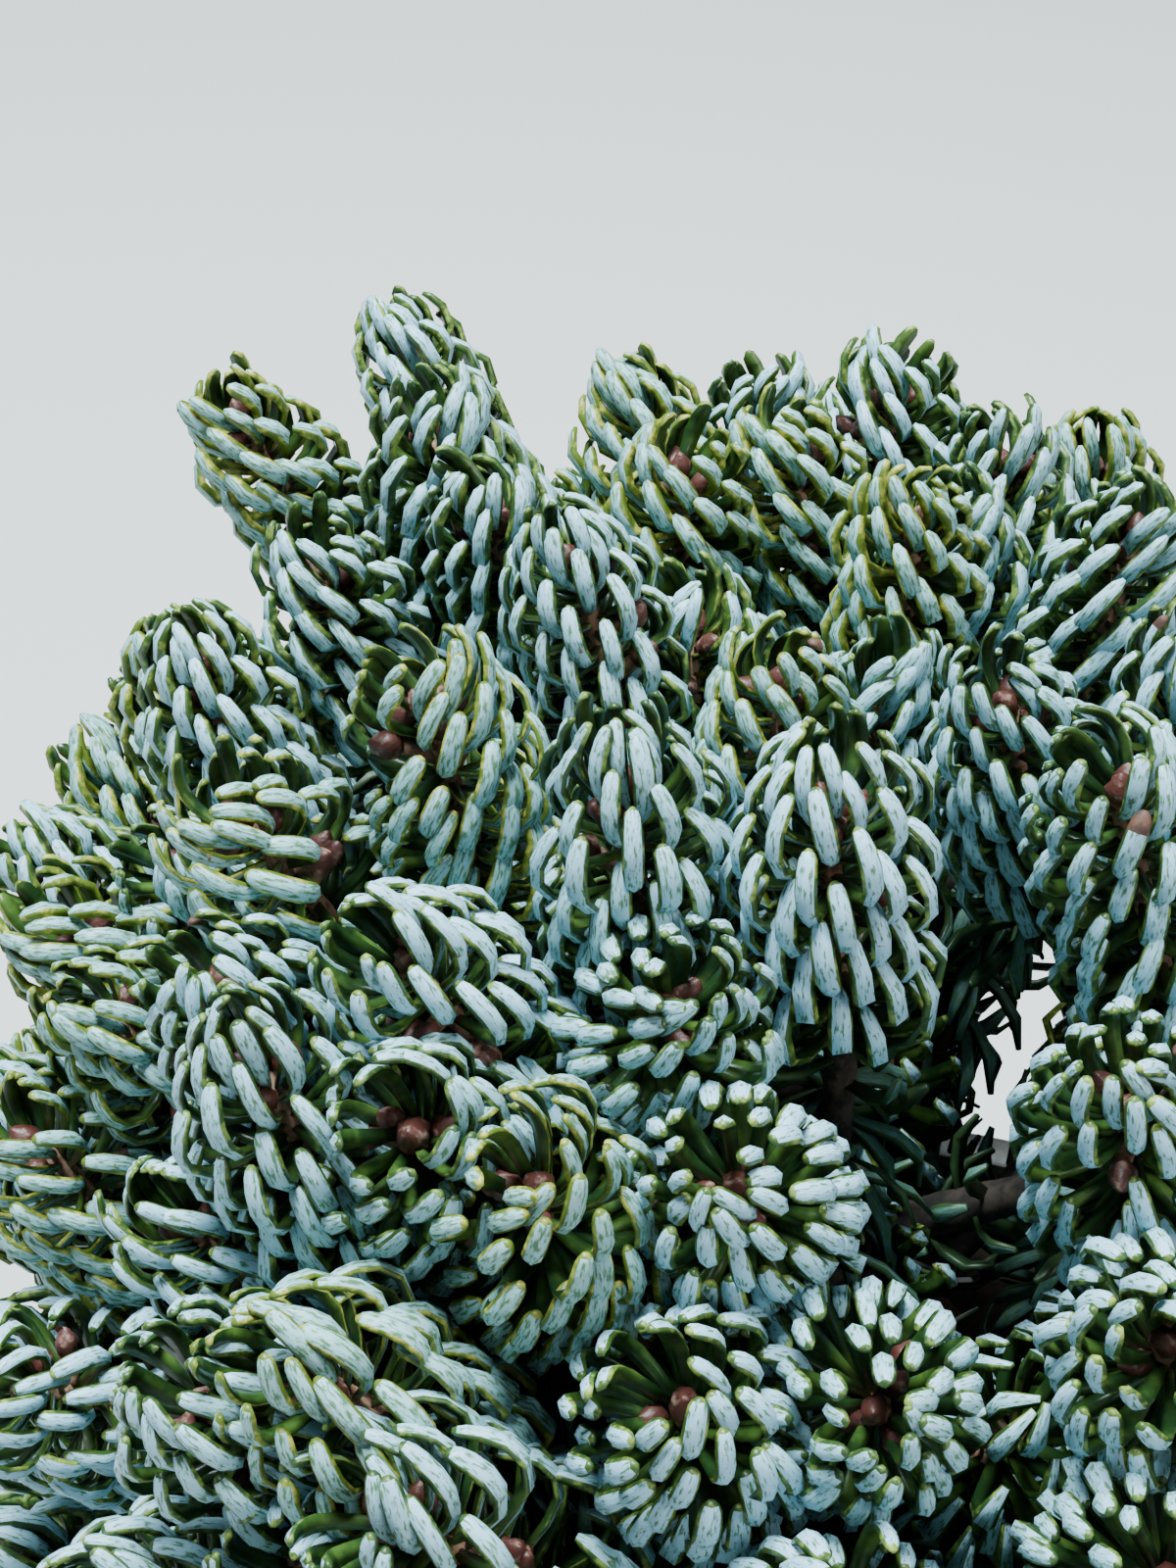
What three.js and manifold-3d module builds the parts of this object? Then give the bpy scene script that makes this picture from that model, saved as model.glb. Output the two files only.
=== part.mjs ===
import * as THREE from 'three';
import { mergeVertices } from 'three/addons/utils/BufferGeometryUtils.js';
import Module from 'manifold-3d';

// A dwarf Korean fir in a nursery pot, in millimetres with +Z up. The origin is the middle of the
// pot's flat underside, and -Y is the side that is looked at from above.

const wasm = await Module();
wasm.setup();

// Driving dimensions of the pot and what fills it
const pot = {
  height: 180,
  rimRadius: 96,
  footRadius: 73,
  footChamfer: 2,
  wall: 2,
  floor: 3,
  band: 15,
  bandStep: 2.2,
  bandChamfer: 1,
  lip: 2.5,
  lipChamfer: 0.5,
  holes: 6,
  holeRadius: 4.5,
  holeSides: 12,
  holeCircle: 52,
  sides: 32,
};
const soil = { level: 168, edgeDrop: 4, flatRadius: 34 };

// The clear space left between any two solids that stand for things in contact. The soil has a
// little more, because both it and the pot are many-sided.
const gap = 0.3;
const soilGap = 0.4;

// The stem, from its cut at the soil to its tip inside the crown
const trunk = {
  foot: new THREE.Vector3(-4, -6, soil.level + gap),
  bend: new THREE.Vector3(-4, -6, 222),
  tip: new THREE.Vector3(-32, 38, 270),
  flareRadius: 13,
  flareHeight: 0.12,
  footRadius: 8.5,
  tipRadius: 3.2,
  sides: 10,
  steps: 12,
};

// The limbs that leave it, and how far the curve keeps to its first and last directions
const bough = {
  rootRadius: 2.9,
  tipRadius: 1.9,
  lowest: 177,
  highest: 257,
  upturn: 0.45,
  rootGap: 0.45,
  rootHandle: 0.35,
  tipHandle: 0.4,
  ownStem: 20,
  mostStem: 0.5,
  sides: 5,
  steps: 4,
};

// The crown is a leaning dome: at each height its outline is a circle whose middle moves with lean.
const crown = { foot: 202, rise: 133, radius: 108, power: 2.6, lean: [-22, 36] };

// A slanting cleft on the right, through which the far side of the pot's rim shows. A shoot is
// looked at in these shares of its length below the tip.
const cleft = {
  mouth: new THREE.Vector3(-1, -18, 294),
  end: new THREE.Vector3(28, 92, 192),
  radius: 17,
  looks: [0, 0.5, 1, 1.4],
};

// Shoots that stand out, in whorls: how high they sit on the dome (degrees), the directions in
// which they do, how far they reach and how their growth leans from the common rule
const whorls = [
  { latitude: 84, azimuths: [-171, 14], reach: 1, lean: [0, 0, 0] },
  { latitude: 73, azimuths: [141, -140, -108, -84, 62, 5], reach: 1.02, lean: [0, 0, 0] },
  { latitude: 61, azimuths: [-179, 103, 86, 68, 47, -128, -153, -32], reach: 0.99, lean: [0, 0, 0] },
  { latitude: 59, azimuths: [127, 150], reach: 1.08, lean: [-0.1, 0, 0] },
  { latitude: 63, azimuths: [-101], reach: 0.97, lean: [0.1, -0.5, 0] },
  { latitude: 54, azimuths: [-97, -120, -142], reach: 0.98, lean: [0.15, -0.5, 0] },
  { latitude: 45, azimuths: [-158, -101, -88], reach: 0.96, lean: [0, -0.3, 0] },
  { latitude: 37, azimuths: [-131, -118, -75], reach: 1, lean: [-0.2, 0, 0] },
  { latitude: 70, azimuths: [-52], reach: 1.02, lean: [-0.6, 0, 0] },
  { latitude: 57, azimuths: [-66], reach: 0.97, lean: [-0.5, -0.2, 0] },
  { latitude: 46, azimuths: [-72], reach: 1, lean: [-0.4, -0.2, 0] },
];

// The other shoots stand on a golden-angle spiral down the dome, wherever there is room. Two
// shoots are compared from a point a little below the one's tip to the other's needled length.
const spiral = {
  places: 420,
  reach: 1,
  apart: 26,
  heart: 12,
  needled: 30,
  lowest: 0.02,
  narrowest: 0.2,
};
const growth = {
  light: [-0.28, 0.1, 1],
  pull: 0.75,
  tilt: 0.2,
  length: 36,
  lengthSpread: 8,
  reachSpread: 0.1,
  placeSpread: 0.12,
};
const seeds = { whorls: 2024, spiral: 77 };

// The masses' middles follow a spiral of their own inside the dome. The shoots go to the
// nearest of them, measured from this far below their tips.
const mass = { count: 25, depth: 0.8, heart: 24 };

// One shoot: a slim core of twig and needle roots, and the larger needles that stand out of it
const core = {
  sides: 5,
  radius: 5.2,
  tipRadius: 2.6,
  swell: 0.2,
  taper: 0.75,
  short: 2,
  clear: 0.4,
};
const needle = {
  count: 5,
  first: 0.2,
  span: 0.72,
  reach: 9.6,
  rise: 12.5,
  width: 6,
  thickness: 1.5,
  sunk: 1.5,
  back: 3,
  belly: 0.45,
  curl: 0.78,
  closeFrom: 0.65,
  closeBy: 0.3,
  turnPerShoot: 1.1,
  ownMargin: 0.6,
  clear: 0.8,
  overRim: 1,
};

// The stem and twigs of a mass, and where on the stem the twigs leave it
const twig = {
  sides: 3,
  steps: 2,
  rootRadius: 1.7,
  tipRadius: 1.3,
  first: 0.25,
  next: 0.12,
  last: 0.8,
  handle: 0.45,
  sunk: 1.5,
};

const radians = THREE.MathUtils.degToRad;
const lerp = THREE.MathUtils.lerp;
const goldenAngle = Math.PI * (3 - Math.sqrt(5));

// Directions that no limb or shoot runs along, from which their cross-sections are laid out
const acrossLimb = new THREE.Vector3(0.83, 0.4, 0.39);
const acrossShoot = new THREE.Vector3(0.3, 0.2, 1);
const acrossNeedle = new THREE.Vector3(0.37, 0.21, 0.9);

// Shapes

// A seeded row of numbers between 0 and 1.
function stream(seed) {
  let state = seed >>> 0;
  return () => {
    state = (Math.imul(state, 1664525) + 1013904223) >>> 0;
    return state / 4294967296;
  };
}

function geometryOf(points, triangles) {
  const geometry = new THREE.BufferGeometry();
  geometry.setAttribute(
    'position',
    new THREE.Float32BufferAttribute(points.flatMap((p) => [p.x, p.y, p.z]), 3),
  );
  geometry.setIndex(triangles);
  return geometry;
}

// Shares of a length, from 0 to 1, that cut it into even steps.
const evenly = (steps) => Array.from({ length: steps + 1 }, (_, i) => i / steps);

// A closed tube along a curve, with a ring at each of the given shares of its length. The first
// ring's first corner points the way of corner.
function loft(curve, sides, shares, radiusAt, corner = acrossLimb) {
  const steps = shares.length - 1;
  const points = [];
  const triangles = [];
  let normal = corner;
  shares.forEach((share) => {
    const middle = curve.getPointAt(share);
    const along = curve.getTangentAt(share);
    normal = normal.clone().addScaledVector(along, -normal.dot(along)).normalize();
    const other = along.clone().cross(normal);
    for (let k = 0; k < sides; k++) {
      const angle = (2 * Math.PI * k) / sides;
      const point = middle.clone().addScaledVector(normal, radiusAt(share) * Math.cos(angle));
      points.push(point.addScaledVector(other, radiusAt(share) * Math.sin(angle)));
    }
  });
  for (let i = 0; i < steps; i++)
    for (let k = 0; k < sides; k++) {
      const a = i * sides + k;
      const b = i * sides + ((k + 1) % sides);
      triangles.push(a, b, b + sides, a, b + sides, a + sides);
    }
  const last = steps * sides;
  for (let k = 1; k < sides - 1; k++) {
    triangles.push(0, k + 1, k);
    triangles.push(last, last + k, last + k + 1);
  }
  return geometryOf(points, triangles);
}

function solidOf(geometry) {
  const bare = new THREE.BufferGeometry();
  bare.setAttribute('position', geometry.getAttribute('position').clone());
  bare.setIndex(geometry.index.clone());
  const merged = mergeVertices(bare, 1e-3);
  const build = (triangles) =>
    new wasm.Manifold(
      new wasm.Mesh({
        numProp: 3,
        vertProperties: merged.attributes.position.array,
        triVerts: new Uint32Array(triangles),
      }),
    );
  const triangles = Array.from(merged.index.array);
  const solid = build(triangles);
  return solid.volume() > 0 ? solid : build(triangles.reverse());
}

function geometryFrom(solid) {
  const mesh = solid.getMesh();
  const geometry = new THREE.BufferGeometry();
  const positions = new Float32Array(mesh.numVert * 3);
  for (let i = 0; i < mesh.numVert; i++)
    for (let k = 0; k < 3; k++) positions[3 * i + k] = mesh.vertProperties[i * mesh.numProp + k];
  geometry.setAttribute('position', new THREE.BufferAttribute(positions, 3));
  geometry.setIndex(new THREE.BufferAttribute(mesh.triVerts, 1));
  return geometry;
}

// Joins solids into one body, and drops any scrap that hangs on to nothing.
function joined(solids) {
  const all = solids.reduce((sum, solid) => sum.add(solid));
  const bodies = all.decompose();
  return bodies.reduce((most, body) => (body.volume() > most.volume() ? body : most));
}

function namedMesh(name, geometry, colour, roughness) {
  const material = new THREE.MeshStandardMaterial({ color: colour, roughness, metalness: 0 });
  const mesh = new THREE.Mesh(geometry, material);
  mesh.name = name;
  return mesh;
}

// The pot and its filling

const potRadiusAt = (z) =>
  pot.footRadius + ((pot.rimRadius - pot.footRadius) * z) / pot.height;

function latheOf(profile) {
  const geometry = new THREE.LatheGeometry(
    profile.map(([r, z]) => new THREE.Vector2(r, z)),
    pot.sides,
  );
  return geometry.rotateX(Math.PI / 2);
}

function makePot() {
  const under = pot.height - pot.band;
  const lipUnder = pot.height - pot.lip;
  const outside = pot.rimRadius + pot.bandStep;
  const shell = solidOf(
    latheOf([
      [0, 0],
      [pot.footRadius - pot.footChamfer, 0],
      [potRadiusAt(pot.footChamfer), pot.footChamfer],
      [potRadiusAt(under), under],
      [potRadiusAt(under) + pot.bandStep, under + pot.bandChamfer],
      [outside, lipUnder - pot.bandChamfer],
      [outside + pot.lip, lipUnder],
      [outside + pot.lip - pot.lipChamfer, pot.height],
      [pot.rimRadius - pot.wall, pot.height],
      [potRadiusAt(pot.floor) - pot.wall, pot.floor],
      [0, pot.floor],
    ]),
  );
  const drill = new THREE.CylinderGeometry(
    pot.holeRadius,
    pot.holeRadius,
    4 * pot.floor,
    pot.holeSides,
  );
  drill.rotateX(Math.PI / 2);
  let cut = shell;
  for (let k = 0; k < pot.holes; k++) {
    const angle = (2 * Math.PI * (k + 0.5)) / pot.holes;
    const hole = drill
      .clone()
      .translate(pot.holeCircle * Math.cos(angle), pot.holeCircle * Math.sin(angle), pot.floor / 2);
    cut = cut.subtract(solidOf(hole));
  }
  return geometryFrom(cut);
}

function makeSoil() {
  const insideAt = (z) => potRadiusAt(z) - pot.wall - soilGap;
  const bottom = pot.floor + gap;
  const edge = soil.level - soil.edgeDrop;
  return latheOf([
    [0, bottom],
    [insideAt(bottom), bottom],
    [insideAt(edge), edge],
    [soil.flatRadius, soil.level],
    [0, soil.level],
  ]);
}

// The dome

// The point of the dome in a direction round it and at a latitude, both in radians.
function onCrown(azimuth, latitude, reach) {
  const s = Math.pow(Math.sin(latitude), 2 / crown.power) * reach;
  const across = crown.radius * Math.pow(Math.cos(latitude), 2 / crown.power) * reach;
  return new THREE.Vector3(
    crown.lean[0] * s + across * Math.cos(azimuth),
    crown.lean[1] * s + across * Math.sin(azimuth),
    crown.foot + crown.rise * s,
  );
}

function outward(azimuth, latitude) {
  const power = 2 - 2 / crown.power;
  const flat = Math.pow(Math.cos(latitude), power) / crown.radius;
  return new THREE.Vector3(
    flat * Math.cos(azimuth),
    flat * Math.sin(azimuth),
    Math.pow(Math.sin(latitude), power) / crown.rise,
  ).normalize();
}

// Latitudes from the top down that deal the dome's surface out in equal shares.
function evenLatitudes(count) {
  const steps = 2000;
  const outline = [];
  for (let i = 0; i <= steps; i++) {
    const latitude = (Math.PI / 2) * (1 - i / steps);
    const across = crown.radius * Math.pow(Math.max(Math.cos(latitude), 0), 2 / crown.power);
    outline.push([across, crown.rise * Math.pow(Math.sin(latitude), 2 / crown.power), latitude]);
  }
  const area = [0];
  for (let i = 0; i < steps; i++) {
    const [r0, z0] = outline[i];
    const [r1, z1] = outline[i + 1];
    area.push(area[i] + (r0 + r1) * Math.hypot(r1 - r0, z1 - z0));
  }
  const latitudes = [];
  let i = 0;
  for (let n = 0; n < count; n++) {
    while (area[i + 1] < (area[steps] * (n + 0.5)) / count) i++;
    latitudes.push(outline[i][2]);
  }
  return latitudes;
}

// Shoots

const closest = new THREE.Vector3();

function distanceToLine(point, start, end) {
  return new THREE.Line3(start, end).closestPointToPoint(point, true, closest).distanceTo(point);
}

const belowTip = (shoot, far) => shoot.tip.clone().addScaledVector(shoot.direction, -far);

// A shoot from its place on the dome: it grows outwards and to the light, tilted a little at random.
function shootAt(azimuth, latitude, reach, lean, draws) {
  const tip = onCrown(azimuth, latitude, reach);
  const direction = outward(azimuth, latitude)
    .addScaledVector(new THREE.Vector3(...growth.light), growth.pull)
    .add(new THREE.Vector3(...lean))
    .normalize();
  const aside = direction.clone().cross(acrossShoot).normalize();
  const upside = direction.clone().cross(aside);
  const turn = 2 * Math.PI * draws[0];
  const tilt = growth.tilt * Math.sqrt(draws[1]);
  direction
    .addScaledVector(aside, tilt * Math.cos(turn))
    .addScaledVector(upside, tilt * Math.sin(turn))
    .normalize();
  const length = growth.length + (draws[2] - 0.5) * growth.lengthSpread;
  const base = tip.clone().addScaledVector(direction, -length);
  return { tip, direction, length, base };
}

function inCleft(shoot) {
  return cleft.looks.some(
    (share) =>
      distanceToLine(belowTip(shoot, shoot.length * share), cleft.mouth, cleft.end) < cleft.radius,
  );
}

function crowds(shoot, other) {
  const { heart, needled, apart } = spiral;
  return (
    distanceToLine(belowTip(shoot, heart), other.tip, belowTip(other, needled)) < apart ||
    distanceToLine(belowTip(other, heart), shoot.tip, belowTip(shoot, needled)) < apart
  );
}

function growShoots() {
  const grown = [];
  let draw = stream(seeds.whorls);
  for (const whorl of whorls)
    for (const azimuth of whorl.azimuths) {
      const draws = Array.from({ length: 3 }, draw);
      grown.push(
        shootAt(radians(azimuth), radians(whorl.latitude), whorl.reach, whorl.lean, draws),
      );
    }
  draw = stream(seeds.spiral);
  evenLatitudes(spiral.places).forEach((even, n) => {
    const draws = Array.from({ length: 6 }, draw);
    const reach = spiral.reach + (draws[3] - 0.5) * growth.reachSpread;
    const narrow = Math.max(Math.cos(even), spiral.narrowest);
    const aside = ((draws[4] - 0.5) * growth.placeSpread) / narrow;
    const latitude = Math.max(even + (draws[5] - 0.5) * growth.placeSpread, spiral.lowest);
    const shoot = shootAt(n * goldenAngle + aside, latitude, reach, [0, 0, 0], draws);
    if (!grown.some((other) => crowds(shoot, other)) && !inCleft(shoot)) grown.push(shoot);
  });
  return grown;
}

// Limbs

const trunkCurve = new THREE.QuadraticBezierCurve3(trunk.foot, trunk.bend, trunk.tip);

function trunkRadiusAt(share) {
  const taper = lerp(trunk.footRadius, trunk.tipRadius, share);
  const flare = Math.max(1 - share / trunk.flareHeight, 0);
  return taper + (trunk.flareRadius - trunk.footRadius) * flare * flare;
}

function trunkShareAtHeight(z) {
  const step = 0.005;
  let share = 0;
  while (share < 1 && trunkCurve.getPointAt(share).z < z) share += step;
  return Math.min(share, 1);
}

// The limb that carries a mass, from the trunk to the base of the mass's middle shoot, and the
// way to the trunk from its root.
function limbTo(shoot, rank, count) {
  const height = lerp(bough.highest, bough.lowest, rank / (count - 1));
  const share = trunkShareAtHeight(height);
  const middle = trunkCurve.getPointAt(share);
  const along = trunkCurve.getTangentAt(share);
  const away = shoot.base.clone().sub(middle);
  const side = away.clone().addScaledVector(along, -away.dot(along)).normalize();
  const start = side.clone().addScaledVector(along, bough.upturn).normalize();
  // The root's flat end leans, so its upper edge comes nearest to the trunk.
  const slant = Math.sqrt(1 - Math.pow(start.dot(side), 2));
  const edge = share + (bough.rootRadius * start.dot(side)) / trunkCurve.getLength();
  const rootAt = trunkRadiusAt(edge) + bough.rootGap + bough.rootRadius * slant;
  const root = middle.clone().addScaledVector(side, rootAt);
  const reach = root.distanceTo(shoot.base);
  const limb = new THREE.CubicBezierCurve3(
    root,
    root.clone().addScaledVector(start, reach * bough.rootHandle),
    shoot.base.clone().addScaledVector(shoot.direction, -reach * bough.tipHandle),
    shoot.base,
  );
  return { limb, inward: side.negate() };
}

// The stem of the mass that grows straight on from the trunk's tip.
function leaderTo(shoot) {
  const upward = trunkCurve.getTangentAt(1);
  const root = trunk.tip.clone().addScaledVector(upward, gap);
  const reach = root.distanceTo(shoot.base);
  return new THREE.CubicBezierCurve3(
    root,
    root.clone().addScaledVector(upward, reach * bough.tipHandle),
    shoot.base.clone().addScaledVector(shoot.direction, -reach * bough.tipHandle),
    shoot.base,
  );
}

// Part of a curve, between two shares of its length.
class Stretch extends THREE.Curve {
  constructor(curve, from, to) {
    super();
    this.curve = curve;
    this.from = from;
    this.to = to;
  }
  getPoint(t, target = new THREE.Vector3()) {
    return this.curve.getPointAt(lerp(this.from, this.to, t), target);
  }
}

// How many points each kind of piece is followed by when others have to stay clear of it
const beadSteps = { trunk: 60, bough: 24, stem: 10, shoot: 12 };

function beadsOf(curve, radiusAt, steps) {
  return evenly(steps).map((share) => ({ at: curve.getPointAt(share), radius: radiusAt(share) }));
}

function touches(beads, others) {
  return beads.some((a) =>
    others.some((b) => a.at.distanceTo(b.at) < a.radius + b.radius + core.clear),
  );
}

// Masses

// Shares the shoots out among the masses, each mass's middle shoot first.
function shareOut(shoots) {
  const groups = evenLatitudes(mass.count).map((latitude, n) => ({
    middle: onCrown(n * goldenAngle, latitude, mass.depth),
    shoots: [],
  }));
  for (const shoot of shoots) {
    const heart = belowTip(shoot, mass.heart);
    const nearest = groups.reduce((best, group) =>
      group.middle.distanceTo(heart) < best.middle.distanceTo(heart) ? group : best,
    );
    nearest.shoots.push(shoot);
  }
  for (const group of groups)
    group.shoots.sort((a, b) => a.base.distanceTo(group.middle) - b.base.distanceTo(group.middle));
  return groups.filter((group) => group.shoots.length > 0);
}

const groups = shareOut(growShoots());
const fromTrunkTip = (group) => group.shoots[0].base.distanceTo(trunk.tip);
const leader = groups.reduce((best, group) =>
  fromTrunkTip(group) < fromTrunkTip(best) ? group : best,
);

const boughRadiusAt = (t) => lerp(bough.rootRadius, bough.tipRadius, t);
const twigRadiusAt = (t) => lerp(twig.rootRadius, twig.tipRadius, t);

groups.forEach((group, k) => {
  const middleShoot = group.shoots[0];
  if (group === leader) {
    group.stemCurve = leaderTo(middleShoot);
    group.stemRadiusAt = (t) => lerp(trunk.tipRadius, twig.rootRadius, t);
    group.boughBeads = [];
  } else {
    const { limb, inward } = limbTo(middleShoot, k, groups.length);
    const length = limb.getLength();
    const boughEnd = 1 - Math.min(bough.ownStem / length, bough.mostStem);
    group.inward = inward;
    group.boughCurve = new Stretch(limb, 0, boughEnd);
    group.boughBeads = beadsOf(group.boughCurve, boughRadiusAt, beadSteps.bough);
    group.stemCurve = new Stretch(limb, boughEnd + gap / length, 1);
    group.stemRadiusAt = (t) => lerp(bough.tipRadius, twig.rootRadius, t);
  }
  group.stemBeads = beadsOf(group.stemCurve, group.stemRadiusAt, beadSteps.stem);
});

const limbBeads = [
  ...beadsOf(trunkCurve, trunkRadiusAt, beadSteps.trunk),
  ...groups.flatMap((group) => group.boughBeads),
];

// The twig from a mass's own stem to one of its other shoots.
function twigTo(group, shoot, rank) {
  const share = Math.min(twig.first + twig.next * rank, twig.last);
  const start = group.stemCurve.getPointAt(share);
  const reach = start.distanceTo(shoot.base);
  return new THREE.QuadraticBezierCurve3(
    start,
    shoot.base.clone().addScaledVector(shoot.direction, -reach * twig.handle),
    shoot.base.clone().addScaledVector(shoot.direction, twig.sunk),
  );
}

function coreRadiusAt(share) {
  const { swell, taper } = core;
  if (share < swell) return lerp(twig.tipRadius, core.radius, share / swell);
  return lerp(core.radius, core.tipRadius, Math.max(share - taper, 0) / (1 - taper));
}

function coreSolid(shoot) {
  const line = new THREE.LineCurve3(shoot.base, belowTip(shoot, core.short));
  return solidOf(loft(line, core.sides, [0, core.swell, core.taper, 1], coreRadiusAt));
}

// The beads of what is kept of a mass, and of its stem.
function massBeads(group) {
  return [...group.stemBeads, ...(group.kept ?? []).flatMap((one) => one.beads)];
}

// First pass: a shoot whose core or twig touches a limb or another mass is left out.
for (const group of groups) {
  const taken = groups.filter((other) => other !== group).flatMap(massBeads);
  group.kept = [];
  group.shoots.forEach((shoot, rank) => {
    const line = new THREE.LineCurve3(shoot.base, shoot.tip);
    const path = rank > 0 ? twigTo(group, shoot, rank) : null;
    const beads = beadsOf(line, coreRadiusAt, beadSteps.shoot);
    if (path) beads.push(...beadsOf(path, twigRadiusAt, beadSteps.shoot));
    if (!touches(beads, limbBeads) && !touches(beads, taken)) group.kept.push({ shoot, path, beads });
  });
}

// A curved needle from the twig out and forward, as two points, its root and its tip, and between
// them the four corners of its widest part. Towards the shoot's tip the needles close over it.
function needlePoints(shoot, index, phase) {
  const share = needle.first + (needle.span * index) / (needle.count - 1);
  const turn = phase + index * goldenAngle;
  const axis = shoot.direction;
  const side = axis.clone().cross(acrossNeedle).normalize();
  const out = side
    .clone()
    .multiplyScalar(Math.cos(turn))
    .addScaledVector(axis.clone().cross(side), Math.sin(turn));
  const across = axis.clone().cross(out);
  const lastShare = needle.first + needle.span;
  const near = Math.max(share - needle.closeFrom, 0) / (lastShare - needle.closeFrom);
  const reach = needle.reach * (1 - needle.closeBy * near);
  const rise = Math.min(needle.rise, shoot.length * (1 - share) + needle.back);
  const half = needle.width / 2;
  const root = shoot.base.clone().addScaledVector(axis, shoot.length * share - needle.back);
  const belly = root
    .clone()
    .addScaledVector(out, reach - needle.thickness)
    .addScaledVector(axis, needle.rise * needle.belly);
  return [
    root.clone().addScaledVector(out, needle.sunk),
    root.clone().addScaledVector(out, reach * needle.curl).addScaledVector(axis, rise),
    belly.clone().addScaledVector(across, -half),
    belly.clone().addScaledVector(across, half),
    belly.clone().addScaledVector(out, needle.thickness),
    belly.clone().addScaledVector(out, -needle.thickness / 2),
  ];
}

const needleTriangles = [
  0, 4, 2, 0, 3, 4, 0, 5, 3, 0, 2, 5, 1, 2, 4, 1, 4, 3, 1, 3, 5, 1, 5, 2,
];

// Second pass: a needle stays only where it is nearer to its own shoot than to any other, over
// the rim and clear of the limbs and the other masses.
function needlesOf(group, kept, rank) {
  const otherShoots = groups
    .flatMap((other) => other.kept.map((one) => one.shoot))
    .filter((shoot) => shoot !== kept.shoot);
  const foreignBeads = [
    ...limbBeads,
    ...groups.filter((other) => other !== group).flatMap(massBeads),
  ];
  const made = [];
  for (let index = 0; index < needle.count; index++) {
    const points = needlePoints(kept.shoot, index, rank * needle.turnPerShoot);
    const [root, tip, ...corners] = points;
    const edges = corners.flatMap((p) => [root.clone().lerp(p, 0.5), tip.clone().lerp(p, 0.5)]);
    const free = [...points, ...edges].every((p) => {
      const own = distanceToLine(p, kept.shoot.base, kept.shoot.tip) + needle.ownMargin;
      return (
        p.z > pot.height + needle.overRim &&
        otherShoots.every((other) => distanceToLine(p, other.base, other.tip) > own) &&
        foreignBeads.every((bead) => bead.at.distanceTo(p) > bead.radius + needle.clear)
      );
    });
    if (free) made.push(solidOf(geometryOf(points, needleTriangles)));
  }
  return made;
}

function makeMass(group) {
  const solids = [solidOf(loft(group.stemCurve, bough.sides, evenly(twig.steps), group.stemRadiusAt))];
  group.kept.forEach((kept, rank) => {
    solids.push(coreSolid(kept.shoot));
    if (kept.path) solids.push(solidOf(loft(kept.path, twig.sides, evenly(twig.steps), twigRadiusAt)));
    solids.push(...needlesOf(group, kept, rank));
  });
  return geometryFrom(joined(solids));
}

// The whole plant

const colours = { pot: 0x17181a, soil: 0x3a2b20, trunk: 0x7a5a44, bough: 0x84614a, foliage: 0x7f9f9a };
const plant = new THREE.Group();
plant.add(namedMesh('pot', makePot(), colours.pot, 0.55));
plant.add(namedMesh('soil', makeSoil(), colours.soil, 0.95));

const trunkLoft = loft(trunkCurve, trunk.sides, evenly(trunk.steps), trunkRadiusAt);
plant.add(namedMesh('trunk', trunkLoft, colours.trunk, 0.85));

groups.forEach((group, k) => {
  const number = String(k + 1).padStart(2, '0');
  if (group.boughCurve) {
    const shares = evenly(bough.steps);
    const limb = loft(group.boughCurve, bough.sides, shares, boughRadiusAt, group.inward);
    plant.add(namedMesh('bough_' + number, limb, colours.bough, 0.85));
  }
  plant.add(namedMesh('foliage_' + number, makeMass(group), colours.foliage, 0.6));
});

export default plant;
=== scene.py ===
# %% [markdown]
# # A dwarf Korean fir in a nursery pot
# The plant is a low dome of upright shoots. Each shoot is wrapped in short, blunt needles that
# leave the twig at a right angle and curl forward over its tip, so that their silvery undersides
# face outward. The CAD model gives the pot, the limbs and the place of the main shoots. This
# lesson grows the same plant again from the same rule, with every needle.

import math

import bpy
import numpy as np
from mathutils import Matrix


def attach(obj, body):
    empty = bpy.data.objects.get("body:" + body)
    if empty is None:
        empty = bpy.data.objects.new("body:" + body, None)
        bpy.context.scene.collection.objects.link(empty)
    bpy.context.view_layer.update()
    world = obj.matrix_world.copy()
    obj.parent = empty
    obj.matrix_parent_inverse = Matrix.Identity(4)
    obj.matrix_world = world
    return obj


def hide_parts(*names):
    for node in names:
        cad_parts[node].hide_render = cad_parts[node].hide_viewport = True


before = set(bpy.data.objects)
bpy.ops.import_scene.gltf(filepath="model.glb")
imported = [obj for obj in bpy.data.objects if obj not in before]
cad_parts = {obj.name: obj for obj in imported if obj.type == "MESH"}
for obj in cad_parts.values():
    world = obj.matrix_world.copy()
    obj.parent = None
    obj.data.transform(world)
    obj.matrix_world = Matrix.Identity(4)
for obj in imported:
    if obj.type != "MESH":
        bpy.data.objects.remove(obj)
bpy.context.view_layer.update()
MM = 0.001
print("frame of", len(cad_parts), "nodes")

# %% [markdown]
# ## The growth rule
# The sizes below are the CAD model's own, in millimetres, and the functions follow it step by
# step. Writing the rule again, rather than reading points from the solids, lets the finer twigs
# and needles grow on from it.

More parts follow.
